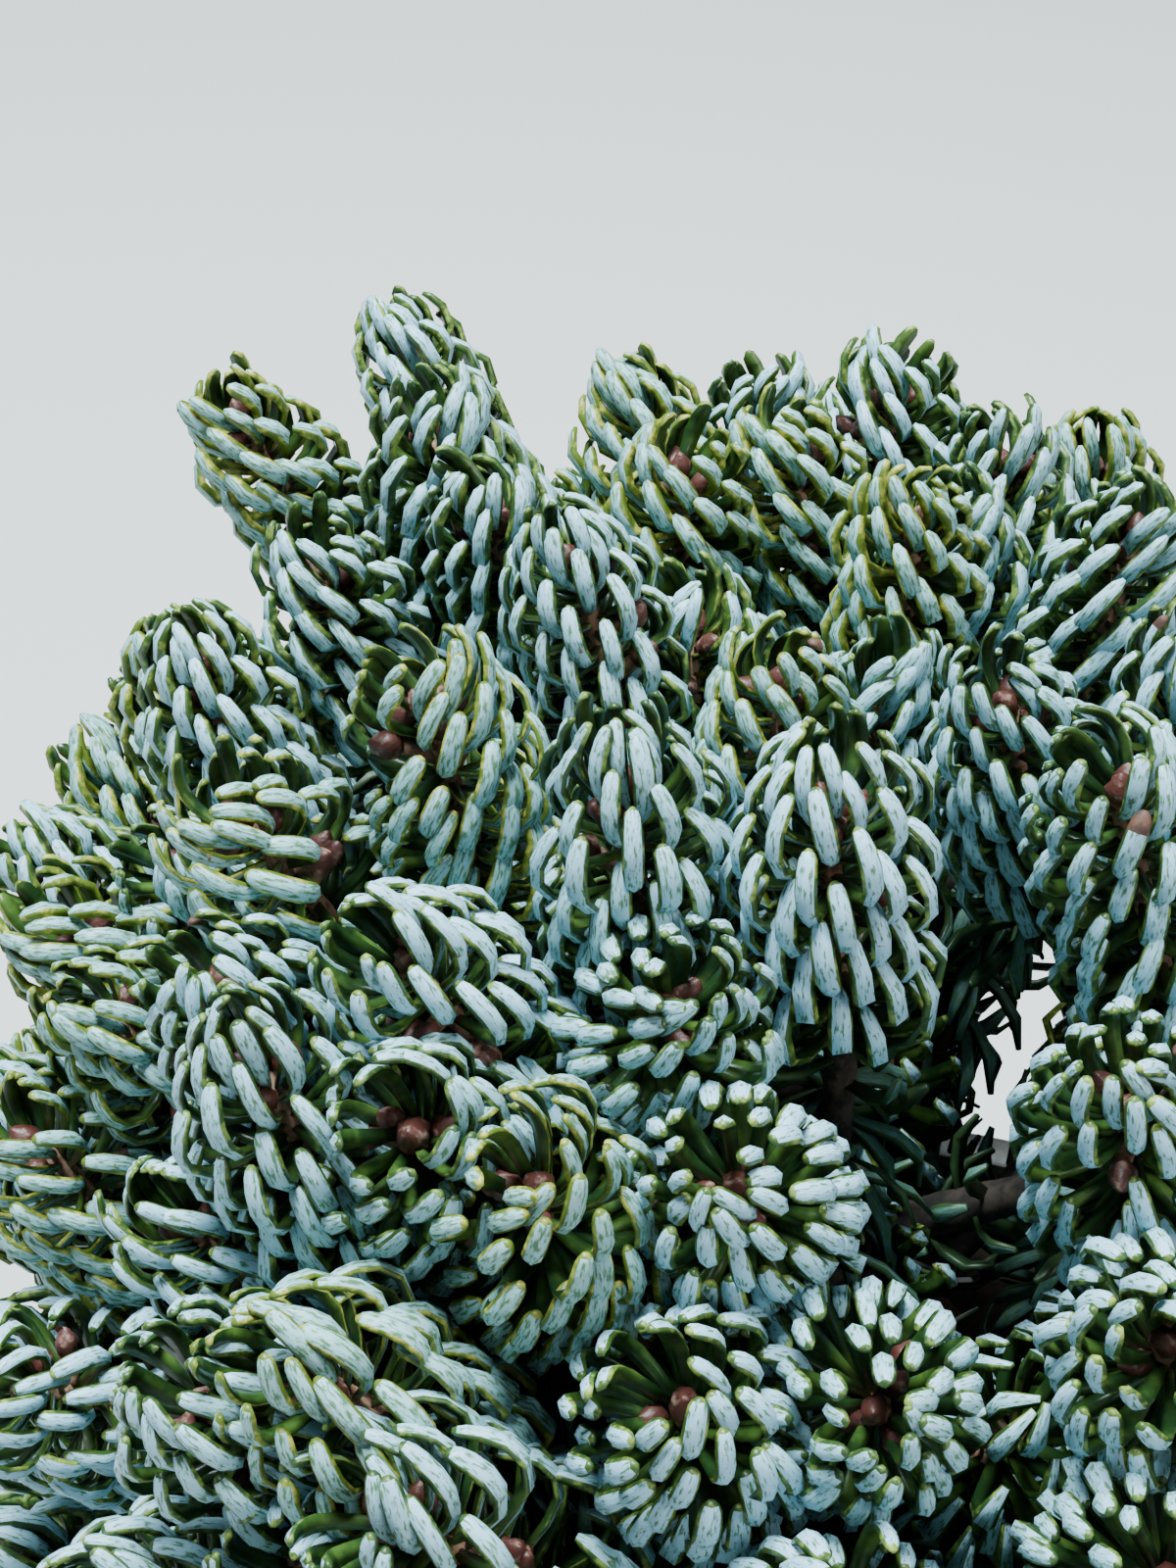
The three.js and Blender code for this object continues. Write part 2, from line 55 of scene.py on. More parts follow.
# %% Sizes of the crown and its limbs
GOLDEN = math.pi * (3 - math.sqrt(5))
POT_HEIGHT, SOIL_LEVEL, GAP = 180, 168, 0.3
TRUNK_FOOT = np.array([-4, -6, SOIL_LEVEL + GAP])
TRUNK_BEND = np.array([-4, -6, 222.0])
TRUNK_TIP = np.array([-32, 38, 270.0])
TRUNK_FLARE, TRUNK_FLARE_HEIGHT = 13, 0.12
TRUNK_FOOT_RADIUS, TRUNK_TIP_RADIUS = 8.5, 3.2
BOUGH_ROOT_RADIUS, BOUGH_TIP_RADIUS = 2.9, 1.9
BOUGH_LOWEST, BOUGH_HIGHEST = 177, 257
BOUGH_UPTURN, BOUGH_ROOT_GAP, BOUGH_OWN_STEM = 0.45, 0.45, 20
CROWN_FOOT, CROWN_RISE, CROWN_RADIUS, CROWN_POWER = 202, 133, 108, 2.6
CROWN_LEAN = (-22, 36)
CLEFT_MOUTH, CLEFT_END = np.array([-1, -18, 294.0]), np.array([28, 92, 192.0])

# Room round the cleft's middle line for main shoots, for finer ones and for older needles, and the
# shares of a shoot's length at which it is measured
CLEFT_RADIUS, CLEFT_FINE, CLEFT_CLEAR = 17, 12, 4
CLEFT_LOOKS = (0, 0.5, 1, 1.4)
MASS_COUNT, MASS_DEPTH, MASS_HEART = 25, 0.8, 24
TWIG_ROOT_RADIUS, TWIG_TIP_RADIUS = 1.7, 1.3

# How far the handles of a limb's curve stand from its ends, as shares of its reach
ROOT_PULL, BASE_PULL, TWIG_PULL = 0.35, 0.4, 0.45
TWIG_OVERLAP = 1.5  # of a twig into its shoot
TWIG_FIRST, TWIG_STEP, TWIG_LAST = 0.25, 0.12, 0.8  # places of the twigs along a mass's own stem

# Latitude, directions round the dome, reach and lean of the shoots that stand out
WHORLS = [
    (84, (-171, 14), 1, (0, 0, 0)),
    (73, (141, -140, -108, -84, 62, 5), 1.02, (0, 0, 0)),
    (61, (-179, 103, 86, 68, 47, -128, -153, -32), 0.99, (0, 0, 0)),
    (59, (127, 150), 1.08, (-0.1, 0, 0)),
    (63, (-101,), 0.97, (0.1, -0.5, 0)),
    (54, (-97, -120, -142), 0.98, (0.15, -0.5, 0)),
    (45, (-158, -101, -88), 0.96, (0, -0.3, 0)),
    (37, (-131, -118, -75), 1, (-0.2, 0, 0)),
    (70, (-52,), 1.02, (-0.6, 0, 0)),
    (57, (-66,), 0.97, (-0.5, -0.2, 0)),
    (46, (-72,), 1, (-0.4, -0.2, 0)),
]
SPIRAL_PLACES = 420

# Kinds of shoots on the spiral: reach, room, whether the CAD model has them and whether they are
# inner ones, which only this script grows, under the others
SPIRAL_KINDS = [
    (1, 26, True, False),
    (0.95, 12, False, False),
    (0.8, 13, False, True),
    (0.63, 13, False, True),
]
LIGHT, PULL, TILT = np.array([-0.28, 0.1, 1]), 0.75, 0.2
SHOOT_LENGTH, LENGTH_SPREAD, REACH_SPREAD, PLACE_SPREAD = 36, 8, 0.1, 0.12


# %% Points and directions
def stream(seed):
    """A seeded row of numbers between 0 and 1."""
    state = seed

    def draw():
        nonlocal state
        state = (state * 1664525 + 1013904223) % 2**32
        return state / 2**32

    return draw


def unit(v):
    return v / np.linalg.norm(v, axis=-1, keepdims=True)


def on_crown(azimuth, latitude, reach):
    s = math.sin(latitude) ** (2 / CROWN_POWER) * reach
    across = CROWN_RADIUS * math.cos(latitude) ** (2 / CROWN_POWER) * reach
    x = CROWN_LEAN[0] * s + across * math.cos(azimuth)
    y = CROWN_LEAN[1] * s + across * math.sin(azimuth)
    return np.array([x, y, CROWN_FOOT + CROWN_RISE * s])


def outward(azimuth, latitude):
    power = 2 - 2 / CROWN_POWER
    flat = math.cos(latitude) ** power / CROWN_RADIUS
    up = math.sin(latitude) ** power / CROWN_RISE
    return unit(np.array([flat * math.cos(azimuth), flat * math.sin(azimuth), up]))


def even_latitudes(count, steps=2000):
    """Latitudes from the top down that deal the dome's surface out in equal shares."""
    latitude = (math.pi / 2) * (1 - np.arange(steps + 1) / steps)
    across = CROWN_RADIUS * np.maximum(np.cos(latitude), 0) ** (2 / CROWN_POWER)
    height = CROWN_RISE * np.sin(latitude) ** (2 / CROWN_POWER)
    strips = (across[:-1] + across[1:]) * np.hypot(np.diff(across), np.diff(height))
    area = np.concatenate([[0], np.cumsum(strips)])
    wanted = area[-1] * (np.arange(count) + 0.5) / count
    return latitude[np.searchsorted(area[1:], wanted)]


def to_line(points, start, end):
    """Distances from points to the line between start and end."""
    along = end - start
    share = np.clip((points - start) @ along / (along @ along), 0, 1)
    return np.linalg.norm(points - start - share[..., None] * along, axis=-1)


# %% One shoot, and all of them
class Shoot:
    """A shoot's tip, direction and length, and whether the CAD model has it too."""

    def __init__(self, azimuth, latitude, reach, lean, main, draws):
        self.tip = on_crown(azimuth, latitude, reach)
        direction = unit(outward(azimuth, latitude) + PULL * LIGHT + np.array(lean))
        aside = unit(np.cross(direction, (0.3, 0.2, 1)))
        upside = np.cross(direction, aside)
        turn, tilt = 2 * math.pi * draws[0], TILT * math.sqrt(draws[1])
        tilted = direction + tilt * (aside * math.cos(turn) + upside * math.sin(turn))
        self.direction = unit(tilted)
        self.length = SHOOT_LENGTH + (draws[2] - 0.5) * LENGTH_SPREAD
        self.base = self.below(self.length)
        self.main, self.inner = main, False

    def below(self, far):
        return self.tip - self.direction * far


def in_cleft(shoot, radius):
    points = np.array([shoot.below(shoot.length * look) for look in CLEFT_LOOKS])
    return to_line(points, CLEFT_MOUTH, CLEFT_END).min() < radius


def crowds(one, other, apart, heart=12, needled=30):
    near = to_line(one.below(heart), other.tip, other.below(needled))
    return near < apart or to_line(other.below(heart), one.tip, one.below(needled)) < apart


def grow_shoots():
    grown = []
    draw = stream(2024)
    for latitude, azimuths, reach, lean in WHORLS:
        for azimuth in azimuths:
            draws = [draw() for _ in range(3)]
            place = math.radians(azimuth), math.radians(latitude)
            grown.append(Shoot(*place, reach, lean, True, draws))
    for kind_reach, apart, main, inner in SPIRAL_KINDS:
        draw = stream(77)
        for n, even in enumerate(even_latitudes(SPIRAL_PLACES)):
            draws = [draw() for _ in range(6)]
            reach = kind_reach + (draws[3] - 0.5) * REACH_SPREAD
            aside = (draws[4] - 0.5) * PLACE_SPREAD / max(math.cos(even), 0.2)
            latitude = max(even + (draws[5] - 0.5) * PLACE_SPREAD, 0.02)
            shoot = Shoot(n * GOLDEN + aside, latitude, reach, (0, 0, 0), main, draws)
            shoot.inner = inner
            room = CLEFT_RADIUS if main else CLEFT_FINE
            if not in_cleft(shoot, room) and not any(crowds(shoot, o, apart) for o in grown):
                grown.append(shoot)
    return grown


shoots = grow_shoots()
print(len(shoots), "shoots,", sum(s.main for s in shoots), "of them main")


# %% Curves with even steps
CURVE_STEPS = 200


def sample(curve, at, known):
    """The curve at new places, where known are the places of its own points."""
    return np.stack([np.interp(at, known, curve[:, k]) for k in range(3)], axis=1)


def bezier(*handles):
    """Points at even distances along a Bezier curve of these handles."""
    t = np.linspace(0, 1, CURVE_STEPS + 1)[:, None]
    points = [np.asarray(h, float) for h in handles]
    while len(points) > 1:
        points = [a * (1 - t) + b * t for a, b in zip(points, points[1:])]
    gone = np.concatenate([[0], np.cumsum(np.linalg.norm(np.diff(points[0], axis=0), axis=1))])
    even = np.linspace(0, gone[-1], CURVE_STEPS + 1)
    return sample(points[0], even, gone)


def curve_length(curve):
    return np.linalg.norm(np.diff(curve, axis=0), axis=1).sum()


def part_of(curve, start, end, steps=CURVE_STEPS):
    """Points of the curve between two shares of its length."""
    at = np.linspace(start, end, steps + 1) * (len(curve) - 1)
    return sample(curve, at, np.arange(len(curve)))


def directions(points):
    return unit(np.gradient(points, axis=0))


def lerp(a, b, t):
    return a + (b - a) * t


# %% Limbs, masses and twigs
trunk_curve = bezier(TRUNK_FOOT, TRUNK_BEND, TRUNK_TIP)
trunk_along = directions(trunk_curve)


def trunk_radius(share):
    flare = np.maximum(1 - share / TRUNK_FLARE_HEIGHT, 0)
    taper = lerp(TRUNK_FOOT_RADIUS, TRUNK_TIP_RADIUS, share)
    return taper + (TRUNK_FLARE - TRUNK_FOOT_RADIUS) * flare**2


def limb_to(shoot, rank, count):
    """The limb from the trunk to the base of a mass's middle shoot."""
    height = lerp(BOUGH_HIGHEST, BOUGH_LOWEST, rank / (count - 1))
    i = min(int(np.searchsorted(trunk_curve[:, 2], height)), CURVE_STEPS)
    middle, along = trunk_curve[i], trunk_along[i]
    away = shoot.base - middle
    side = unit(away - along * (away @ along))
    start = unit(side + along * BOUGH_UPTURN)
    slant = math.sqrt(1 - (start @ side) ** 2)
    edge = i / CURVE_STEPS + BOUGH_ROOT_RADIUS * (start @ side) / curve_length(trunk_curve)
    root = middle + side * (trunk_radius(edge) + BOUGH_ROOT_GAP + BOUGH_ROOT_RADIUS * slant)
    reach = np.linalg.norm(shoot.base - root)
    handle = root + start * reach * ROOT_PULL
    return bezier(root, handle, shoot.base - shoot.direction * reach * BASE_PULL, shoot.base)


def leader_to(shoot):
    up = trunk_along[-1]
    root = TRUNK_TIP + up * GAP
    reach = np.linalg.norm(shoot.base - root) * BASE_PULL
    return bezier(root, root + up * reach, shoot.base - shoot.direction * reach, shoot.base)


class Mass:
    """The shoots that one bough carries, with the bough and the mass's own stem."""

    def __init__(self, middle):
        self.middle = middle
        self.shoots = []
        self.bough = self.stem = None


def share_out():
    latitudes = even_latitudes(MASS_COUNT)
    groups = [Mass(on_crown(n * GOLDEN, lat, MASS_DEPTH)) for n, lat in enumerate(latitudes)]
    for main in (True, False):
        for group in groups:
            group.found = []
        for shoot in (s for s in shoots if s.main == main):
            heart = shoot.below(MASS_HEART)
            open_to = groups if main else [g for g in groups if g.shoots]
            nearest = min(open_to, key=lambda g: np.linalg.norm(g.middle - heart))
            nearest.found.append(shoot)
        for group in groups:
            group.found.sort(key=lambda s: np.linalg.norm(s.base - group.middle))
            group.shoots += group.found
    return [group for group in groups if group.shoots]


masses = share_out()
leader = min(masses, key=lambda g: np.linalg.norm(g.shoots[0].base - TRUNK_TIP))
for rank, group in enumerate(masses):
    if group is leader:
        group.stem = leader_to(group.shoots[0])
        group.stem_radii = (TRUNK_TIP_RADIUS, TWIG_ROOT_RADIUS)
        continue
    limb = limb_to(group.shoots[0], rank, len(masses))
    own = min(BOUGH_OWN_STEM / curve_length(limb), 0.5)
    group.bough = part_of(limb, 0, 1 - own)
    group.stem = part_of(limb, 1 - own, 1)
    group.stem_radii = (BOUGH_TIP_RADIUS, TWIG_ROOT_RADIUS)


def twig_to(group, shoot, rank):
    """The twig from a mass's own stem to one of its shoots."""
    start = part_of(group.stem, 0, min(TWIG_FIRST + TWIG_STEP * rank, TWIG_LAST), 1)[-1]
    reach = np.linalg.norm(start - shoot.base)
    handle = shoot.base - shoot.direction * reach * TWIG_PULL
    return bezier(start, handle, shoot.base + shoot.direction * TWIG_OVERLAP)


print(len(masses), "masses")

# %% [markdown]
# ## Meshes from arrays
# Thousands of needles can't be modelled one by one. Each kind is worked out as arrays of points
# and four-sided faces, and joined into a few meshes, which is quick.


# %% A tube, and a mesh from arrays
SEAM = np.array([0.83, 0.4, 0.39])  # the direction from which each tube's seam starts


def grid_faces(rings, sides):
    """Faces of a closed tube of rings, with both ends shut by four-sided faces."""
    i, k = np.meshgrid(np.arange(rings - 1), np.arange(sides), indexing="ij")
    a, b = i * sides + k, i * sides + (k + 1) % sides
    walls = np.stack([a, b, b + sides, a + sides], axis=-1).reshape(-1, 4)
    j = np.arange(sides // 2 - 1)
    end = np.stack([0 * j, 2 * j + 1, 2 * j + 2, 2 * j + 3], axis=1)
    return np.concatenate([walls, end[:, ::-1], end + (rings - 1) * sides])


def tube(points, radii, sides, relief=None):
    """Points and faces of a tube along points; relief is added to its radius, ring by side."""
    along = directions(points)
    normals, normal = [], SEAM
    for tangent in along:
        normal = unit(normal - tangent * (normal @ tangent))
        normals.append(normal)
    normals = np.array(normals)
    others = np.cross(along, normals)
    angle = 2 * math.pi * np.arange(sides) / sides
    radius = np.broadcast_to(np.asarray(radii, float)[:, None], (len(points), sides))
    if relief is not None:
        radius = radius + relief
    cos, sin = np.cos(angle)[:, None], np.sin(angle)[:, None]
    ring = radius[..., None] * (normals[:, None] * cos + others[:, None] * sin)
    return (points[:, None] + ring).reshape(-1, 3), grid_faces(len(points), sides)


class Batch:
    """Collects points and faces, in millimetres, until they become one mesh."""

    def __init__(self):
        self.points, self.faces, self.slots, self.grain, self.count = [], [], [], [], 0

    def add(self, points, faces, slots=0, grain=None):
        self.points.append(points)
        self.faces.append(faces + self.count)
        self.slots.append(np.broadcast_to(slots, len(faces)))
        if grain is not None:
            self.grain.append(grain)
        self.count += len(points)

    def piece(self, name, materials, slot):
        points = np.concatenate(self.points) * MM
        faces = np.concatenate(self.faces).astype(np.int32)
        mesh = bpy.data.meshes.new(name)
        mesh.vertices.add(len(points))
        mesh.vertices.foreach_set("co", points.astype(np.float32).ravel())
        mesh.loops.add(faces.size)
        mesh.polygons.add(len(faces))
        mesh.polygons.foreach_set("loop_start", np.arange(0, faces.size, 4, dtype=np.int32))
        mesh.polygons.foreach_set("vertices", faces.ravel())
        for material in materials:
            mesh.materials.append(material)
        slots = np.concatenate(self.slots).astype(np.int32)
        mesh.polygons.foreach_set("material_index", slots)
        mesh.polygons.foreach_set("use_smooth", np.ones(len(faces), bool))
        if self.grain:
            layer = mesh.uv_layers.new(name="grain")
            grain = np.concatenate(self.grain)[faces.ravel()]
            layer.data.foreach_set("uv", grain.astype(np.float32).ravel())
        mesh.update(calc_edges=True)
        piece = bpy.data.objects.new(name, mesh)
        bpy.context.scene.collection.objects.link(piece)
        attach(piece, "root")
        print(name, 2 * len(faces), "triangles")
        return piece


# %% [markdown]
# ## Finishes
# Every finish is a shader whose colour, roughness and relief come from noise. The silver of the
# needles reads a UV layer that is laid out along each needle in millimetres, so that its streaks
# follow the needle. All the others read Object coordinates. The mottling that they share is a
# node group.


# %% The mottle group
def linear(red, green, blue):
    """A colour as a screen shows it, 0 to 255, in the shader's own linear values."""
    values = [c / 255 for c in (red, green, blue)]
    return [c / 12.92 if c <= 0.04045 else ((c + 0.055) / 1.055) ** 2.4 for c in values] + [1]


NOISE_DETAIL, NOISE_ROUGHNESS, RELIEF_HEIGHT, COAT_ROUGHNESS = 4, 0.6, 0.0002, 0.25


def set_inputs(node, values):
    for name, value in values.items():
        node.inputs[name].default_value = value


def join(tree, *pairs):
    for source, target in pairs:
        tree.links.new(source, target)


def make_mottle_group():
    group = bpy.data.node_groups.new("Mottle", "ShaderNodeTree")
    for way, kind, names in (
        ("INPUT", "Vector", ["Place"]),
        ("INPUT", "Color", ["Base", "Spots"]),
        ("INPUT", "Float", ["Scale", "From", "To", "Relief"]),
        ("OUTPUT", "Color", ["Color"]),
        ("OUTPUT", "Float", ["Mask"]),
        ("OUTPUT", "Vector", ["Normal"]),
    ):
        for name in names:
            group.interface.new_socket(name, in_out=way, socket_type=f"NodeSocket{kind}")
    given = group.nodes.new("NodeGroupInput").outputs
    put_out = group.nodes.new("NodeGroupOutput").inputs
    noise = group.nodes.new("ShaderNodeTexNoise")
    set_inputs(noise, {"Detail": NOISE_DETAIL, "Roughness": NOISE_ROUGHNESS})
    ramp = group.nodes.new("ShaderNodeMapRange")
    ramp.interpolation_type = "SMOOTHSTEP"
    mix = group.nodes.new("ShaderNodeMix")
    mix.data_type = "RGBA"
    bump = group.nodes.new("ShaderNodeBump")
    set_inputs(bump, {"Distance": RELIEF_HEIGHT})
    join(
        group,
        (given["Place"], noise.inputs["Vector"]),
        (given["Scale"], noise.inputs["Scale"]),
        (noise.outputs["Fac"], ramp.inputs["Value"]),
        (given["From"], ramp.inputs["From Min"]),
        (given["To"], ramp.inputs["From Max"]),
        (ramp.outputs["Result"], mix.inputs["Factor"]),
        (given["Base"], mix.inputs["A"]),
        (given["Spots"], mix.inputs["B"]),
        (given["Relief"], bump.inputs["Strength"]),
        (noise.outputs["Fac"], bump.inputs["Height"]),
        (mix.outputs["Result"], put_out["Color"]),
        (ramp.outputs["Result"], put_out["Mask"]),
        (bump.outputs["Normal"], put_out["Normal"]),
    )
    return group


mottle_group = make_mottle_group()


# %% A finish
def add_mottle(tree, place, scale, span):
    """A Mottle node that reads its places from a socket."""
    mottle = tree.nodes.new("ShaderNodeGroup")
    mottle.node_tree = mottle_group
    join(tree, (place, mottle.inputs["Place"]))
    set_inputs(mottle, {"Scale": scale, "From": span[0], "To": span[1]})
    return mottle


def finish(name, base, spots, scale, span, relief, rough, coat=0, streaks=None):
    """A mottled material. Noise of this scale turns the base colour into that of the spots over
    its span, and rough is the roughness of each. Streaks draw the spots out along each needle."""
    material = bpy.data.materials.new(name)
    material.use_nodes = True
    material.diffuse_color = linear(*base)
    tree = material.node_tree
    shader = tree.nodes["Principled BSDF"]
    set_inputs(shader, {"Coat Weight": coat, "Coat Roughness": COAT_ROUGHNESS})
    place = tree.nodes.new("ShaderNodeTexCoord").outputs["UV" if streaks else "Object"]
    if streaks:
        stretch = tree.nodes.new("ShaderNodeMapping")
        set_inputs(stretch, {"Scale": (1, 1 / streaks, 1)})
        join(tree, (place, stretch.inputs["Vector"]))
        place = stretch.outputs["Vector"]
    mottle = add_mottle(tree, place, scale, span)
    set_inputs(mottle, {"Base": linear(*base), "Spots": linear(*spots), "Relief": relief})
    rougher = tree.nodes.new("ShaderNodeMapRange")
    set_inputs(rougher, {"To Min": rough[0], "To Max": rough[1]})
    join(
        tree,
        (mottle.outputs["Mask"], rougher.inputs["Value"]),
        (rougher.outputs["Result"], shader.inputs["Roughness"]),
        (mottle.outputs["Color"], shader.inputs["Base Color"]),
        (mottle.outputs["Normal"], shader.inputs["Normal"]),
    )
    return material


# %% A painted highlight on the rim
# The rim's pale colour is a painted highlight, where the sky lights its top
RIM_HIGHLIGHT, RIM_HIGHLIGHT_SCALE, RIM_HIGHLIGHT_SPAN = (124, 118, 108), 160, (0.3, 0.75)


def paint_rim_highlight(material, low, high):
    """Pale colour painted as the sky's highlight on the rim's top, thickening between two heights,
    in metres, in uneven patches.
    """
    tree, nodes = material.node_tree, material.node_tree.nodes
    place = nodes["Texture Coordinate"].outputs["Object"]
    split = nodes.new("ShaderNodeSeparateXYZ")
    rise = nodes.new("ShaderNodeMapRange")
    set_inputs(rise, {"From Min": low, "From Max": high})
    patches = add_mottle(tree, place, RIM_HIGHLIGHT_SCALE, RIM_HIGHLIGHT_SPAN)
    amount = nodes.new("ShaderNodeMath")
    amount.operation = "MULTIPLY"
    highlighted = nodes.new("ShaderNodeMix")
    highlighted.data_type = "RGBA"
    set_inputs(highlighted, {"B": linear(*RIM_HIGHLIGHT)})
    join(
        tree,
        (place, split.inputs["Vector"]),
        (split.outputs["Z"], rise.inputs["Value"]),
        (rise.outputs["Result"], amount.inputs[0]),
        (patches.outputs["Mask"], amount.inputs[1]),
        (amount.outputs["Value"], highlighted.inputs["Factor"]),
        (nodes["Group"].outputs["Color"], highlighted.inputs["A"]),
        (highlighted.outputs["Result"], nodes["Principled BSDF"].inputs["Base Color"]),
    )


# %% Silver with streaks and flecks
THIN_WAX, RUST = (80, 120, 82), (128, 92, 60)
STREAK_SCALE, STREAK_STRETCH, FLECK_SCALE, FLECK_SPAN = 3.4, 4.5, 0.8, (0.68, 0.72)


def silver(name, base, span):
    """The waxy outer face of a needle, with green streaks where its wax is thin, and a few rusty
    flecks over them."""
    look = STREAK_SCALE, span, 0.6, (0.46, 0.6)
    material = finish(name, base, THIN_WAX, *look, streaks=STREAK_STRETCH)
    tree, nodes = material.node_tree, material.node_tree.nodes
    flecks = add_mottle(tree, nodes["Texture Coordinate"].outputs["UV"], FLECK_SCALE, FLECK_SPAN)
    set_inputs(flecks, {"Spots": linear(*RUST)})
    join(
        tree,
        (nodes["Group"].outputs["Color"], flecks.inputs["Base"]),
        (flecks.outputs["Color"], nodes["Principled BSDF"].inputs["Base Color"]),
    )
    return material


# %% Needle, wood, pot and soil finishes
silvers = [
    silver("Silver blue", (168, 214, 232), (0.51, 0.64)),
    silver("Silver", (160, 206, 220), (0.49, 0.63)),
    silver("Silver green", (154, 200, 202), (0.46, 0.61)),
]
# The margins are green, and their lighter lime spots are painted highlights, as of light on the
# needles' edges
margins = [
    finish(name, base, spots, 620, (0.45, 0.7), 0.3, (0.38, 0.48))
    for name, base, spots in (
        ("Margin", (56, 84, 32), (154, 174, 78)),
        ("Margin dark", (48, 74, 34), (132, 158, 72)),
        ("Margin yellow", (92, 112, 34), (198, 196, 88)),
    )
]
green = finish("Inner green", (28, 55, 24), (72, 102, 38), 240, (0.42, 0.7), 0.3, (0.3, 0.4))
old_green = finish("Older green", (36, 62, 32), (58, 82, 42), 200, (0.4, 0.7), 0.3, (0.4, 0.5))
# The older needles' silver is greener, as older needles are, and darker as painted shade for the
# inside of the crown
old_silver_in_painted_shade = silver("Older silver in painted shade", (92, 130, 130), (0.42, 0.58))
brown = finish("Dry tip", (100, 66, 50), (66, 44, 34), 900, (0.4, 0.6), 0.6, (0.6, 0.75))
twig_bark = finish("Twig", (150, 116, 92), (98, 62, 40), 600, (0.42, 0.65), 0.8, (0.7, 0.85))
old_twig_bark = finish("Older twig", (82, 66, 54), (46, 35, 28), 500, (0.4, 0.62), 1, (0.8, 0.9))
bud_scale = finish("Bud", (84, 44, 36), (150, 118, 104), 700, (0.52, 0.7), 1, (0.48, 0.66), 0.06)
bark = finish("Bark", (64, 52, 43), (30, 24, 20), 330, (0.4, 0.6), 1, (0.8, 0.9))
plastic = finish("Black plastic", (17, 17, 18), (38, 37, 35), 90, (0.52, 0.8), 0.3, (0.44, 0.7))
# A painted highlight on the pot's rim
paint_rim_highlight(plastic, low=0.168, high=0.181)
soil_mix = finish("Potting mix", (52, 38, 28), (28, 21, 16), 300, (0.4, 0.6), 1, (0.92, 0.98))
chip_bark = finish("Bark chips", (112, 78, 54), (66, 44, 30), 240, (0.4, 0.65), 1, (0.85, 0.95))
print(len(bpy.data.materials), "materials")

# %% [markdown]
# ## Needles
# A needle is a strap about 2.1 mm wide and 1 mm thick, widest beyond its middle, with a rounded
# tip. Its outer face is silver between green margins, and its inner face is green. In a plane
# through the twig, it leaves at nearly a right angle and turns forward and then inward.

# %% Bend and cross-section
rng = np.random.RandomState(11)
BEND_STEPS, STRAIGHT = 80, 0.23  # the share of a needle from its foot that is straight
SILVER, MARGIN, GREEN, BROWN = range(4)
THINNEST = 0.3  # of a needle's thickness, where it would have no width
DRY_SHARE, DRY_RINGS = 0.005, 2  # near needles with dry brown tips, and how far those reach
GRAIN_SHIFT = 40  # sets needles apart in the pattern of their wax

# Each detail: rings as bend steps, their widths, the cross-section (across, out), its slots and
# on near needles the ring at which the silver ends
DETAILS = {
    "near": {
        "rings": [0, 24, 38, 50, 60, 69, 75, 78, 80],
        "widths": [0.5, 0.74, 0.88, 0.98, 1, 0.96, 0.84, 0.62, 0.24],
        "section": [(-1, 0), (-0.79, 0.48), (0, 1), (0.79, 0.48), (1, 0), (0, -0.35)],
        "slots": [MARGIN, SILVER, SILVER, MARGIN, GREEN, GREEN],
        "tip": 7,
    },
    "far": {
        "rings": [0, 27, 45, 61, 74, 80],
        "widths": [0.6, 0.86, 1, 1, 0.82, 0.3],
        "section": [(-1, -0.1), (-0.76, 0.8), (0.76, 0.8), (1, -0.1)],
        "slots": [MARGIN, SILVER, MARGIN, GREEN],
    },
    "old": {
        "rings": [0, 32, 54, 78],
        "widths": [0.5, 0.9, 1, 0.4],
        "section": [(-1, -0.1), (-0.7, 0.75), (0.7, 0.75), (1, -0.1)],
        "slots": [MARGIN, SILVER, MARGIN, GREEN],
    },
}


